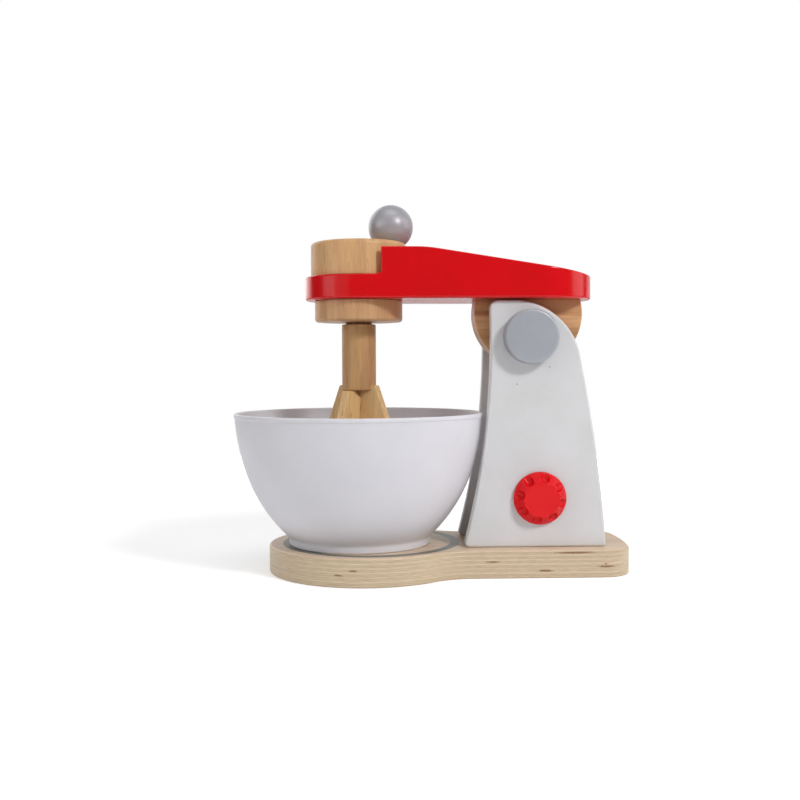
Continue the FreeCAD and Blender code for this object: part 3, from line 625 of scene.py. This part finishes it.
def moulded_melamine(name):
    """White melamine pressed in a polished mould: cool white, a dull sheen and faint clouds."""
    material, tree = new_material(name)
    place = add(tree, "ShaderNodeTexCoord").outputs["Object"]
    # clouds about 30 mm wide, and a grain 0.8 mm wide
    clouds = add(
        tree,
        "ShaderNodeTexNoise",
        {"Vector": place, "Scale": 32.0, "Detail": 5.0, "Roughness": 0.6},
    )
    grains = add(tree, "ShaderNodeTexNoise", {"Vector": place, "Scale": 1200.0, "Detail": 2.0})
    colour = add(
        tree,
        "ShaderNodeValToRGB",
        {"Fac": clouds.outputs[0]},
        stops=[(0.3, linear("#D6D5DB")), (0.7, linear("#DBDAE0"))],
    )
    rough = add(
        tree,
        "ShaderNodeMapRange",
        {
            "Value": clouds.outputs[0],
            "From Min": 0.3,
            "From Max": 0.7,
            "To Min": 0.5,
            "To Max": 0.42,
        },
    )
    bump = add(
        tree,
        "ShaderNodeBump",
        {"Strength": 0.15, "Distance": 0.02 * MM, "Height": grains.outputs[0]},
    )
    shader = add(
        tree,
        "ShaderNodeBsdfPrincipled",
        {
            "Base Color": colour.outputs[0],
            "Roughness": rough.outputs[0],
            "IOR": 1.55,
            "Normal": bump.outputs[0],
        },
    )
    finish_material(tree, shader)
    return material


def zinc_plated_steel(name):
    """Zinc-plated screw steel: a cool grey metal with soft clouds in its plating."""
    material, tree = new_material(name)
    place = add(tree, "ShaderNodeTexCoord").outputs["Object"]
    # clouds about 1 mm wide
    clouds = add(
        tree,
        "ShaderNodeTexNoise",
        {"Vector": place, "Scale": 900.0, "Detail": 4.0, "Roughness": 0.6},
    )
    colour = add(
        tree,
        "ShaderNodeValToRGB",
        {"Fac": clouds.outputs[0]},
        stops=[(0.3, linear("#A9ACB0")), (0.7, linear("#C6C8CB"))],
    )
    rough = add(
        tree,
        "ShaderNodeMapRange",
        {
            "Value": clouds.outputs[0],
            "From Min": 0.3,
            "From Max": 0.7,
            "To Min": 0.42,
            "To Max": 0.28,
        },
    )
    shader = add(
        tree,
        "ShaderNodeBsdfPrincipled",
        {"Base Color": colour.outputs[0], "Metallic": 1.0, "Roughness": rough.outputs[0]},
    )
    finish_material(tree, shader)
    return material


# ---------------------------------------------------------------- finishes of the pieces

plywood = birch_plywood("birch_plywood")
panel_enamel = brushed_enamel(
    "white_satin_enamel",
    "#D6D6D8",
    "#D1D1D2",
    roughness=0.42,
    gloss=0.4,
    coat=0.1,
    spots=((122.3, 134.0, 0.8, 0.45), (101.3, 123.0, 0.5, 0.5)),
)
arm_enamel = brushed_enamel("red_gloss_enamel", "#D40E16", "#CD0A11", roughness=0.22, gloss=0.34)
knob_enamel = brushed_enamel(
    "red_gloss_enamel_knob",
    "#E0121A",
    "#DB0E16",
    roughness=0.26,
    gloss=0.22,
)
cap_enamel = brushed_enamel(
    "silver_satin_enamel",
    "#A9ACB4",
    "#A2A5AD",
    roughness=0.45,
    gloss=0.4,
    coat=0.1,
    metallic=0.25,
)
ball_enamel = brushed_enamel(
    "silver_satin_enamel_ball",
    "#A9A8AE",
    "#A09FA4",
    roughness=0.4,
    gloss=0.6,
    coat=0.1,
    metallic=0.15,
)
melamine = moulded_melamine("white_melamine")
steel = zinc_plated_steel("zinc_plated_steel")
upper_disc_wood = lacquered_hardwood(
    "beech_upper_disc",
    grain="Z",
    pale="#D4A671",
    dark="#C69668",
    seed=(0.3, 0.1, 0.0),
)
lower_disc_wood = lacquered_hardwood(
    "beech_lower_disc",
    grain="Z",
    pale="#D3A475",
    dark="#C39467",
    seed=(0.7, 0.4, 0.0),
)
shaft_wood = lacquered_hardwood(
    "beech_shaft",
    grain="Z",
    pale="#C79A65",
    dark="#B58658",
    seed=(0.1, 0.9, 0.0),
)
blade_wood = lacquered_hardwood(
    "beech_blades",
    grain="Z",
    pale="#E9C38B",
    dark="#DEB77F",
    seed=(0.5, 0.6, 0.2),
)
block_wood = lacquered_hardwood(
    "beech_hinge_block",
    grain="X",
    pale="#D8A777",
    dark="#AD7849",
    seed=(0.2, 0.2, 0.8),
)
# darker than the other beech: painted shade for the dark gap at the neck between the lower disc
# and the whisk shaft
painted_shade_spindle_wood = lacquered_hardwood(
    "beech_spindle_painted_shade",
    grain="Z",
    pale="#8A6747",
    dark="#705236",
    seed=(0.9, 0.2, 0.3),
)
cross_wood = lacquered_hardwood(
    "beech_cross_dowels",
    grain="Y",
    pale="#CBA276",
    dark="#B68D62",
    seed=(0.4, 0.8, 0.6),
)
spacer_wood = lacquered_hardwood(
    "beech_spacer",
    grain="X",
    pale="#CDA578",
    dark="#B89066",
    seed=(0.6, 0.3, 0.1),
)

FINISHES = {
    "base_board": plywood,
    "front_panel": panel_enamel,
    "rear_panel": panel_enamel,
    "panel_spacer": spacer_wood,
    "panel_dowels": cross_wood,
    "base_screws": steel,
    "speed_knob": knob_enamel,
    "knob_dowel": cross_wood,
    "knob_washer": cross_wood,
    "hinge_block": block_wood,
    "arm_dowels": painted_shade_spindle_wood,
    "hinge_axle": cross_wood,
    "front_axle_cap": cap_enamel,
    "rear_axle_cap": cap_enamel,
    "front_hinge_ring": cross_wood,
    "rear_hinge_ring": cross_wood,
    "mixer_arm": arm_enamel,
    "head_upper": upper_disc_wood,
    "head_lower": lower_disc_wood,
    "head_spindle": painted_shade_spindle_wood,
    "crank_ball": ball_enamel,
    "crank_peg": painted_shade_spindle_wood,
    "whisk_shaft": shaft_wood,
    "whisk_blade_a": blade_wood,
    "whisk_blade_b": blade_wood,
    "mixing_bowl": melamine,
}
for node_name, finish in FINISHES.items():
    bpy.data.objects[node_name].material_slots[0].material = finish


# ---------------------------------------------------------------- turned pieces

BODY_OF = {
    node: body
    for body, nodes in frame["record"]["behaviour"]["bodies"].items()
    for node in nodes
}
# edges that turn by more degrees than this stay sharp
SHARP_TURN = 35
# points nearer to each other than this, in millimetres, become one
ONE_POINT = 0.004
CORNER_STEPS = 6


def new_object(name, data):
    thing = bpy.data.objects.new(name, data)
    bpy.context.scene.collection.objects.link(thing)
    return thing


def new_group(name, inputs):
    """A Geometry Nodes group with one geometry output, and its input node."""
    tree = bpy.data.node_groups.new(name, "GeometryNodeTree")
    for label, kind in inputs.items():
        tree.interface.new_socket(label, in_out="INPUT", socket_type=f"NodeSocket{kind}")
    tree.interface.new_socket("Geometry", in_out="OUTPUT", socket_type="NodeSocketGeometry")
    return tree, add(tree, "NodeGroupInput")


def finish_group(tree, geometry, finish):
    whole = add(tree, "GeometryNodeRealizeInstances", {"Geometry": geometry})
    dressed = add(
        tree,
        "GeometryNodeSetMaterial",
        {"Geometry": whole.outputs[0], "Material": finish},
    )
    add(tree, "NodeGroupOutput", {"Geometry": dressed.outputs[0]})
    return tree


def turned_shape():
    """Turns an outline, a row of points in the XZ plane, once round the Z axis.

    A grid has one row for each point of the outline, and each row is bent to a circle.
    """
    tree, given = new_group(
        "turned_shape",
        {"Outline": "Geometry", "Steps Round": "Int", "Place": "Vector", "Finish": "Material"},
    )
    steps = given.outputs["Steps Round"]
    rows = add(tree, "GeometryNodeAttributeDomainSize", {"Geometry": given.outputs["Outline"]})
    columns = add(tree, "ShaderNodeMath", {0: steps, 1: 1.0}, operation="ADD")
    grid = add(
        tree,
        "GeometryNodeMeshGrid",
        {"Vertices X": rows.outputs["Point Count"], "Vertices Y": columns.outputs[0]},
    )
    index = add(tree, "GeometryNodeInputIndex")
    row = add(
        tree,
        "ShaderNodeMath",
        {0: index.outputs[0], 1: columns.outputs[0]},
        operation="DIVIDE",
    )
    whole_row = add(tree, "ShaderNodeMath", {0: row.outputs[0]}, operation="FLOOR")
    column = add(
        tree,
        "ShaderNodeMath",
        {0: index.outputs[0], 1: columns.outputs[0]},
        operation="FLOORED_MODULO",
    )
    share = add(tree, "ShaderNodeMath", {0: column.outputs[0], 1: steps}, operation="DIVIDE")
    angle = add(tree, "ShaderNodeMath", {0: share.outputs[0], 1: math.tau}, operation="MULTIPLY")
    point = add(
        tree,
        "GeometryNodeSampleIndex",
        {
            "Geometry": given.outputs["Outline"],
            "Value": add(tree, "GeometryNodeInputPosition").outputs[0],
            "Index": whole_row.outputs[0],
        },
        data_type="FLOAT_VECTOR",
    )
    bent = add(
        tree,
        "ShaderNodeVectorRotate",
        {"Vector": point.outputs[0], "Angle": angle.outputs[0]},
        rotation_type="Z_AXIS",
    )
    placed = add(
        tree,
        "ShaderNodeVectorMath",
        {0: bent.outputs[0], 1: given.outputs["Place"]},
        operation="ADD",
    )
    surface = add(
        tree,
        "GeometryNodeSetPosition",
        {"Geometry": grid.outputs["Mesh"], "Position": placed.outputs[0]},
    )
    closed = add(
        tree,
        "GeometryNodeMergeByDistance",
        {"Geometry": surface.outputs[0], "Distance": ONE_POINT * MM},
    )
    return finish_group(tree, closed.outputs[0], given.outputs["Finish"])


def countersunk_screws(turned):
    """Turns one screw from its outline, cuts its cross recess and sets four in a rectangle."""
    tree, given = new_group(
        "countersunk_screws",
        {
            "Outline": "Geometry",
            "Steps Round": "Int",
            "Spread X": "Float",
            "Spread Y": "Float",
            "Place": "Vector",
            "Recess Length": "Float",
            "Recess Width": "Float",
            "Recess Depth": "Float",
            "Finish": "Material",
        },
    )
    screw = add(
        tree,
        "GeometryNodeGroup",
        {label: given.outputs[label] for label in ("Outline", "Steps Round", "Finish")},
        node_tree=turned,
    )
    twice_depth = add(
        tree,
        "ShaderNodeMath",
        {0: given.outputs["Recess Depth"], 1: 2.0},
        operation="MULTIPLY",
    )
    slots = []
    for long_side, short_side in (("Length", "Width"), ("Width", "Length")):
        size = add(
            tree,
            "ShaderNodeCombineXYZ",
            {
                0: given.outputs[f"Recess {long_side}"],
                1: given.outputs[f"Recess {short_side}"],
                2: twice_depth.outputs[0],
            },
        )
        slots.append(add(tree, "GeometryNodeMeshCube", {"Size": size.outputs[0]}).outputs[0])
    # the slots are made one clean cross first, because two cuts one after the other leave gaps
    joined_slots = add(tree, "GeometryNodeMeshBoolean", operation="UNION", solver="EXACT")
    for slot in slots:
        tree.links.new(slot, joined_slots.inputs["Mesh 2"])
    cross = add(
        tree,
        "GeometryNodeMergeByDistance",
        {"Geometry": joined_slots.outputs[0], "Distance": 0.001 * MM},
    )
    cut = add(
        tree,
        "GeometryNodeMeshBoolean",
        {"Mesh 1": screw.outputs[0], "Mesh 2": cross.outputs[0]},
        operation="DIFFERENCE",
        solver="EXACT",
    ).outputs[0]
    corners = add(
        tree,
        "GeometryNodeMeshGrid",
        {
            "Size X": given.outputs["Spread X"],
            "Size Y": given.outputs["Spread Y"],
            "Vertices X": 2,
            "Vertices Y": 2,
        },
    )
    # each screw stopped at its own turn
    turn = add(
        tree,
        "FunctionNodeRandomValue",
        {"Min": (0.0, 0.0, 0.0), "Max": (0.0, 0.0, math.pi / 2), "Seed": 4},
        data_type="FLOAT_VECTOR",
    )
    screws = add(
        tree,
        "GeometryNodeInstanceOnPoints",
        {"Points": corners.outputs["Mesh"], "Instance": cut, "Rotation": turn.outputs[0]},
    )
    placed = add(
        tree,
        "GeometryNodeTransform",
        {"Geometry": screws.outputs[0], "Translation": given.outputs["Place"]},
    )
    return finish_group(tree, placed.outputs[0], given.outputs["Finish"])


def arc(centre, radius, start, end, steps):
    """Points of an arc round a centre in the XZ plane, with its angles in degrees."""
    angles = [math.radians(start + (end - start) * i / steps) for i in range(steps + 1)]
    return [(centre[0] + radius * math.cos(a), centre[1] + radius * math.sin(a)) for a in angles]


def joined(runs, reaches):
    """One outline from runs of points; where two meet, a soft curve cuts the corner.

    The curve starts and ends its reach away from the corner.
    """
    outline = list(runs[0])
    for run, reach in zip(runs[1:], reaches):
        corner = run[0]
        before, after = list(outline), list(run)
        while math.dist(before[-1], corner) <= reach:
            before.pop()
        while math.dist(after[0], corner) <= reach:
            after.pop(0)
        ends = []
        for near in (before[-1], after[0]):
            share = reach / math.dist(near, corner)
            ends.append([c + (n - c) * share for n, c in zip(near, corner)])
        curve = []
        for i in range(CORNER_STEPS + 1):
            t = i / CORNER_STEPS
            weights = ((1 - t) ** 2, 2 * t * (1 - t), t**2)
            points = (ends[0], corner, ends[1])
            x, z = (sum(w * p[axis] for w, p in zip(weights, points)) for axis in (0, 1))
            curve.append((x, z))
        outline = before + curve + after
    return outline


def finish_mesh(mesh):
    """Turns all faces outwards and smooths them, but for the sharp edges."""
    bm = bmesh.new()
    bm.from_mesh(mesh)
    bmesh.ops.recalc_face_normals(bm, faces=bm.faces)
    bm.to_mesh(mesh)
    bm.free()
    mesh.shade_smooth()
    mesh.set_sharp_from_angle(angle=math.radians(SHARP_TURN))


def grown_piece(name, outline, group, values, node):
    """A plain mesh from a Geometry Nodes group and an outline in millimetres."""
    mesh = bpy.data.meshes.new(name)
    mesh.from_pydata([(x * MM, 0.0, z * MM) for x, z in outline], [], [])
    piece = new_object(name, mesh)
    modifier = piece.modifiers.new(name, "NODES")
    modifier.node_group = group
    for item in group.interface.items_tree:
        if item.name in values:
            modifier[item.identifier] = values[item.name]
    graph = bpy.context.evaluated_depsgraph_get()
    shape = bpy.data.meshes.new_from_object(piece.evaluated_get(graph))
    piece.modifiers.remove(modifier)
    piece.data = shape
    finish_mesh(shape)
    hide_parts(node)
    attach(piece, BODY_OF[node])


# The bowl's sizes in millimetres, with mouth and foot as radii and heights from its underside.
# Its side is two arcs that run into each other where the side leans out by BOWL_TURN degrees,
# and at the mouth it leans out by BOWL_FLARE degrees.
BOWL_HEIGHT = 86.3
BOWL_MOUTH = 81.7
BOWL_FLARE = 2.4
BOWL_UPPER_ARC = 140.0
BOWL_LOWER_ARC = 103.3
BOWL_TURN = 18.0
BOWL_WALL = 2.2
BOWL_LIP = 0.4
BOWL_LIP_HEIGHT = 2.8
BOWL_FOOT = 46.6
BOWL_FOOT_WIDTH = 3.0
BOWL_FOOT_HEIGHT = 2.6
BOWL_FLOOR = 2.4
BOWL_STEPS_ROUND = 192
# steps on the lower and upper arc of each face of the wall
BOWL_ARC_STEPS = (20, 16)
# how far the soft curve at each corner of the outline reaches, in the outline's order
BOWL_CORNERS = (0.8, 1.0, 1.0, 1.6, 0.3, 0.5, 1.0, 0.9, 12.0)


def bowl_outline():
    """Half of the bowl's section, from the middle of its underside to the middle of its floor."""
    flare, turn = math.radians(BOWL_FLARE), math.radians(BOWL_TURN)
    upper = (
        BOWL_MOUTH - BOWL_UPPER_ARC * math.cos(flare),
        BOWL_HEIGHT + BOWL_UPPER_ARC * math.sin(flare),
    )
    shift = BOWL_UPPER_ARC - BOWL_LOWER_ARC
    lower = (upper[0] + shift * math.cos(turn), upper[1] - shift * math.sin(turn))
    lip_z = BOWL_HEIGHT - BOWL_LIP_HEIGHT
    lip_x = BOWL_MOUTH + BOWL_LIP
    floor_z = BOWL_FOOT_HEIGHT + BOWL_FLOOR

    def side(inset, low_angle, high_angle):
        """One face of the wall from its low end up."""
        low_steps, high_steps = BOWL_ARC_STEPS
        low = arc(lower, BOWL_LOWER_ARC - inset, low_angle, -BOWL_TURN, low_steps)
        high = arc(upper, BOWL_UPPER_ARC - inset, -BOWL_TURN, high_angle, high_steps)
        return low + high[1:]

    def angle_at(centre, radius, x=None, z=None):
        """The angle at which an arc of the wall reaches a radius or a height."""
        if x is not None:
            return -math.degrees(math.acos((x - centre[0]) / radius))
        return math.degrees(math.asin((z - centre[1]) / radius))

    outer = side(
        0.0,
        angle_at(lower, BOWL_LOWER_ARC, x=BOWL_FOOT),
        angle_at(upper, BOWL_UPPER_ARC, z=lip_z),
    )
    inner = side(
        BOWL_WALL,
        angle_at(lower, BOWL_LOWER_ARC - BOWL_WALL, z=floor_z),
        angle_at(upper, BOWL_UPPER_ARC - BOWL_WALL, z=BOWL_HEIGHT),
    )
    recess_x = BOWL_FOOT - BOWL_FOOT_WIDTH
    runs = [
        [(0.0, BOWL_FOOT_HEIGHT), (recess_x, BOWL_FOOT_HEIGHT)],
        [(recess_x, BOWL_FOOT_HEIGHT), (recess_x, 0.0)],
        [(recess_x, 0.0), (BOWL_FOOT, 0.0)],
        [(BOWL_FOOT, 0.0), outer[0]],
        outer,
        [outer[-1], (lip_x, lip_z + BOWL_LIP)],
        [(lip_x, lip_z + BOWL_LIP), (lip_x, BOWL_HEIGHT)],
        [(lip_x, BOWL_HEIGHT), inner[-1]],
        inner[::-1],
        [inner[0], (0.0, floor_z)],
    ]
    return joined(runs, BOWL_CORNERS)


bowl_low, bowl_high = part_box("mixing_bowl")
bowl_middle = (bowl_low + bowl_high) / 2
turned = turned_shape()
grown_piece(
    "turned_mixing_bowl",
    bowl_outline(),
    turned,
    {
        "Steps Round": BOWL_STEPS_ROUND,
        "Place": (bowl_middle.x, bowl_middle.y, bowl_low.z),
        "Finish": melamine,
    },
    "mixing_bowl",
)

# The base screws' sizes in millimetres, with head, shank and core as radii; their heights run
# up from the head's face. The recess is a cross of two slots.
SCREW_HEAD = 3.7
SCREW_HEAD_HEIGHT = 2.4
SCREW_CHAMFER = 0.3
SCREW_SHANK = 1.75
SCREW_CORE = 1.25
SCREW_THREAD_START = 11.0
SCREW_THREAD_PITCH = 2.0
SCREW_THREAD_HALF_WIDTH = 0.3
SCREW_TIP_HEIGHT = 3.0
RECESS_LENGTH = 4.2
RECESS_WIDTH = 0.9
RECESS_DEPTH = 1.2
# with 42 steps no edge of the head runs into a corner of the cross recess
SCREW_STEPS_ROUND = 42


def screw_outline(length):
    """Half of a wood screw's section, from the middle of its head to its tip."""
    points = [
        (0.0, 0.0),
        (SCREW_HEAD - SCREW_CHAMFER, 0.0),
        (SCREW_HEAD, SCREW_CHAMFER),
        (SCREW_SHANK, SCREW_HEAD_HEIGHT),
        (SCREW_SHANK, SCREW_THREAD_START - SCREW_THREAD_PITCH / 2),
    ]
    turns = int((length - SCREW_TIP_HEIGHT - SCREW_THREAD_START) / SCREW_THREAD_PITCH)
    for i in range(turns):
        crest = SCREW_THREAD_START + (i + 0.5) * SCREW_THREAD_PITCH
        points += [
            (SCREW_CORE, crest - SCREW_THREAD_PITCH / 2),
            (SCREW_CORE, crest - SCREW_THREAD_HALF_WIDTH),
            (SCREW_SHANK, crest),
            (SCREW_CORE, crest + SCREW_THREAD_HALF_WIDTH),
        ]
    points += [(SCREW_CORE, length - SCREW_TIP_HEIGHT), (0.0, length)]
    return points


screws_low, screws_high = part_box("base_screws")
screws_middle = (screws_low + screws_high) / 2
grown_piece(
    "threaded_base_screws",
    screw_outline((screws_high.z - screws_low.z) / MM),
    countersunk_screws(turned),
    {
        "Steps Round": SCREW_STEPS_ROUND,
        "Spread X": screws_high.x - screws_low.x - 2 * SCREW_HEAD * MM,
        "Spread Y": screws_high.y - screws_low.y - 2 * SCREW_HEAD * MM,
        "Place": (screws_middle.x, screws_middle.y, screws_low.z),
        "Recess Length": RECESS_LENGTH * MM,
        "Recess Width": RECESS_WIDTH * MM,
        "Recess Depth": RECESS_DEPTH * MM,
        "Finish": steel,
    },
    "base_screws",
)

# The knob's sizes in millimetres, its heights from its back. A ball-ended cutter has made each
# finger scoop from the face outwards, and the rim under the scoops is whole.
KNOB_RADIUS = 17.0
KNOB_FACE = 11.4
KNOB_LENGTH = 9.4
KNOB_RIM = 2.4
KNOB_EDGE = 0.6
KNOB_SCOOPS = 8
# the first scoop's angle in degrees, the cutter's radius, how far from the axis it goes in,
# the height of its tip there, and how fast its tip goes down on the way out
KNOB_SCOOP_START = 34.0
KNOB_SCOOP_RADIUS = 2.8
KNOB_SCOOP_PLACE = 13.8
KNOB_SCOOP_FLOOR = 3.2
KNOB_SCOOP_SLOPE = 0.3
# height over which the bevel runs softly into the face
KNOB_SOFTENING = 0.5
# what a round edge takes off its corner at 45 degrees, as a share of its radius
ROUND_EDGE_CUT = 0.3
KNOB_STEPS_ROUND = 360
# radii of the mesh's rings: a few on the flat face, then fine ones across the scoops
KNOB_FACE_RINGS = (0.0, 5.0, 9.5)
KNOB_FINE_START = 10.4
KNOB_FINE_STEP = 0.2
KNOB_FINE_RINGS = 30


def knob_height(radius, degrees):
    """Height of the knob's front over its back at a radius and an angle."""
    share = (KNOB_RADIUS - radius) / (KNOB_RADIUS - KNOB_FACE)
    bevel = KNOB_RIM + share * (KNOB_LENGTH - KNOB_RIM)
    soften = max(KNOB_SOFTENING - abs(bevel - KNOB_LENGTH), 0.0)
    height = min(bevel, KNOB_LENGTH) - soften**2 / (4 * KNOB_SOFTENING)
    pitch = 360 / KNOB_SCOOPS
    off = math.radians((degrees - KNOB_SCOOP_START + pitch / 2) % pitch - pitch / 2)
    outwards = radius * math.cos(off) - KNOB_SCOOP_PLACE
    reach = math.hypot(min(outwards, 0.0), radius * math.sin(off))
    if reach < KNOB_SCOOP_RADIUS:
        hollow = KNOB_SCOOP_RADIUS - math.sqrt(KNOB_SCOOP_RADIUS**2 - reach**2)
        floor = KNOB_SCOOP_FLOOR - KNOB_SCOOP_SLOPE * max(outwards, 0.0)
        height = min(height, floor + hollow)
    return height


def make_scooped_knob():
    """The knob as rings of points round its axis, which runs along Y."""
    low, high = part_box("speed_knob")
    middle = (low + high) / 2
    front = [*KNOB_FACE_RINGS]
    front += [KNOB_FINE_START + KNOB_FINE_STEP * i for i in range(KNOB_FINE_RINGS)]
    front += [KNOB_RADIUS - KNOB_EDGE]
    edge_cut = ROUND_EDGE_CUT * KNOB_EDGE
    back = [
        (KNOB_RADIUS - edge_cut, KNOB_RIM - edge_cut),
        (KNOB_RADIUS, KNOB_RIM - KNOB_EDGE),
        (KNOB_RADIUS, KNOB_EDGE),
        (KNOB_RADIUS - KNOB_EDGE, 0.0),
        (0.0, 0.0),
    ]
    bm = bmesh.new()
    rings = []
    for radius, fixed in [(r, None) for r in front] + back:
        ring = []
        for i in range(KNOB_STEPS_ROUND):
            degrees = 360 * i / KNOB_STEPS_ROUND
            height = knob_height(radius, degrees) if fixed is None else fixed
            x = middle.x + radius * math.cos(math.radians(degrees)) * MM
            z = middle.z + radius * math.sin(math.radians(degrees)) * MM
            ring.append(bm.verts.new((x, high.y - height * MM, z)))
        rings.append(ring)
    for inner, outer in zip(rings, rings[1:]):
        for i in range(KNOB_STEPS_ROUND):
            j = (i + 1) % KNOB_STEPS_ROUND
            bm.faces.new((inner[i], outer[i], outer[j], inner[j]))
    # the first and the last ring close to one point each
    bmesh.ops.remove_doubles(bm, verts=bm.verts, dist=0.001 * MM)
    shape = bpy.data.meshes.new("scooped_speed_knob")
    bm.to_mesh(shape)
    bm.free()
    shape.materials.append(knob_enamel)
    finish_mesh(shape)
    knob = new_object("scooped_speed_knob", shape)
    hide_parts("speed_knob")
    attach(knob, "knob")


make_scooped_knob()


# ---------------------------------------------------------------- studio

# the world's level as light, and where gloss mirrors it
WORLD_LEVEL = 0.24
WORLD_GLOSS = 0.02
# the glow that the table adds to its own light where it is looked at, near the toy and far off
FLOOR_GLOW = (0.38, 1.2)
FLOOR_GLOW_REACH = (0.25, 0.8)
TABLE_RADIUS = 0.9
TABLE_SIDES = 96
BACKDROP_Y = 1.6
BACKDROP_HALF_WIDTH = 2.6
BACKDROP_HEIGHT = 2.4
LAMPS_AIM = (0.05, 0.0, 0.15)
# name, azimuth and elevation in degrees, distance, width and height in metres, watts;
# azimuth 0 is the camera's side and 90 is +X
SOFTBOXES = (
    ("key_softbox", 38.0, 31.0, 1.4, 0.24, 0.24, 9.6),
    ("front_softbox", -38.0, 18.0, 1.5, 1.1, 0.9, 1.8),
    ("left_softbox", -64.5, 16.0, 1.4, 0.72, 0.65, 3.0),
    ("right_softbox", 88.0, 18.0, 1.4, 0.9, 0.8, 4.4),
    ("top_softbox", -10.0, 76.0, 1.3, 0.9, 0.9, 4.4),
    ("back_softbox", -142.0, 22.0, 1.4, 1.0, 1.0, 3.5),
)
# the camera's focal length and sensor width in millimetres, its nearest reach and its place in
# metres, and its turn in degrees
CAMERA_LENS = 46.913
CAMERA_SENSOR = 36.0
CAMERA_NEAREST = 0.01
CAMERA_PLACE = (0.007263, -0.69333, 0.13603)
CAMERA_TURN = (88.0405, 0.252, -1.6473)


def seen_directly(tree):
    """1 for rays from the camera, from gloss and through glass."""
    path = add(tree, "ShaderNodeLightPath")
    either = add(
        tree,
        "ShaderNodeMath",
        {0: path.outputs["Is Camera Ray"], 1: path.outputs["Is Glossy Ray"]},
        operation="MAXIMUM",
    )
    return add(
        tree,
        "ShaderNodeMath",
        {0: either.outputs[0], 1: path.outputs["Is Transmission Ray"]},
        operation="MAXIMUM",
    ).outputs[0]


def stage_plane(name, corners, material):
    mesh = bpy.data.meshes.new(name)
    mesh.from_pydata(corners, [], [range(len(corners))])
    mesh.materials.append(material)
    plane = new_object(name, mesh)


def make_floor():
    """A matt white table top, bright enough to burn out but for the toy's shadow."""
    material, tree = new_material("white_table_laminate")
    place = add(tree, "ShaderNodeTexCoord").outputs["Object"]
    away = add(tree, "ShaderNodeVectorMath", {0: place}, operation="LENGTH")
    strength = add(
        tree,
        "ShaderNodeMapRange",
        {
            "Value": away.outputs[1],
            "From Min": FLOOR_GLOW_REACH[0],
            "From Max": FLOOR_GLOW_REACH[1],
            "To Min": FLOOR_GLOW[0],
            "To Max": FLOOR_GLOW[1],
        },
    )
    matt = add(tree, "ShaderNodeBsdfDiffuse", {"Color": linear("#EEEEEE")})
    glow = add(tree, "ShaderNodeEmission", {"Color": tone(1.0), "Strength": strength.outputs[0]})
    burnt_out = add(tree, "ShaderNodeAddShader", {0: matt.outputs[0], 1: glow.outputs[0]})
    shown = add(
        tree,
        "ShaderNodeMixShader",
        {0: seen_directly(tree), 1: matt.outputs[0], 2: burnt_out.outputs[0]},
    )
    finish_material(tree, shown)
    turns = [math.tau * i / TABLE_SIDES for i in range(TABLE_SIDES)]
    rim = [(TABLE_RADIUS * math.cos(a), TABLE_RADIUS * math.sin(a), 0.0) for a in turns]
    stage_plane("table_top", rim, material)


def make_backdrop():
    """A white paper wall behind the toy, which its glossy edges mirror."""
    material, tree = new_material("white_backdrop_paper")
    strength = add(
        tree,
        "ShaderNodeMapRange",
        {"Value": seen_directly(tree), "To Min": WORLD_LEVEL, "To Max": 1.0},
    )
    glow = add(tree, "ShaderNodeEmission", {"Color": tone(1.0), "Strength": strength.outputs[0]})
    finish_material(tree, glow)
    corners = [
        (-BACKDROP_HALF_WIDTH, BACKDROP_Y, 0.0),
        (BACKDROP_HALF_WIDTH, BACKDROP_Y, 0.0),
        (BACKDROP_HALF_WIDTH, BACKDROP_Y, BACKDROP_HEIGHT),
        (-BACKDROP_HALF_WIDTH, BACKDROP_Y, BACKDROP_HEIGHT),
    ]
    stage_plane("backdrop", corners, material)


def make_world():
    """White where the camera looks, a soft even level for light, and a dark studio in gloss."""
    world = bpy.data.worlds.new("studio")
    world.use_nodes = True
    tree = world.node_tree
    tree.nodes.clear()
    path = add(tree, "ShaderNodeLightPath")
    gloss = add(
        tree,
        "ShaderNodeMapRange",
        {"Value": path.outputs["Is Glossy Ray"], "To Min": WORLD_LEVEL, "To Max": WORLD_GLOSS},
    )
    level = add(
        tree,
        "ShaderNodeMix",
        {0: path.outputs["Is Camera Ray"], 2: gloss.outputs[0], 3: 1.0},
    )
    background = add(
        tree,
        "ShaderNodeBackground",
        {"Color": tone(1.0), "Strength": level.outputs[0]},
    )
    add(tree, "ShaderNodeOutputWorld", {"Surface": background.outputs[0]})
    bpy.context.scene.world = world


def make_softbox(name, azimuth, elevation, distance, width, height, power):
    """An area lamp that faces LAMPS_AIM."""
    lamp = bpy.data.lights.new(name, "AREA")
    lamp.shape = "RECTANGLE"
    lamp.size = width
    lamp.size_y = height
    lamp.energy = power
    a, e = math.radians(azimuth), math.radians(elevation)
    softbox = new_object(name, lamp)
    softbox.location = (
        LAMPS_AIM[0] + distance * math.sin(a) * math.cos(e),
        LAMPS_AIM[1] - distance * math.cos(a) * math.cos(e),
        LAMPS_AIM[2] + distance * math.sin(e),
    )
    softbox.rotation_euler = (math.radians(90) - e, 0.0, a)


def make_camera():
    camera = bpy.data.cameras.new("camera")
    camera.sensor_width = CAMERA_SENSOR
    camera.lens = CAMERA_LENS
    camera.clip_start = CAMERA_NEAREST
    holder = new_object("camera", camera)
    holder.location = CAMERA_PLACE
    holder.rotation_euler = [math.radians(angle) for angle in CAMERA_TURN]
    bpy.context.scene.camera = holder


make_floor()
make_backdrop()
make_world()
for softbox in SOFTBOXES:
    make_softbox(*softbox)
make_camera()

bpy.context.scene.view_settings.view_transform = "Standard"
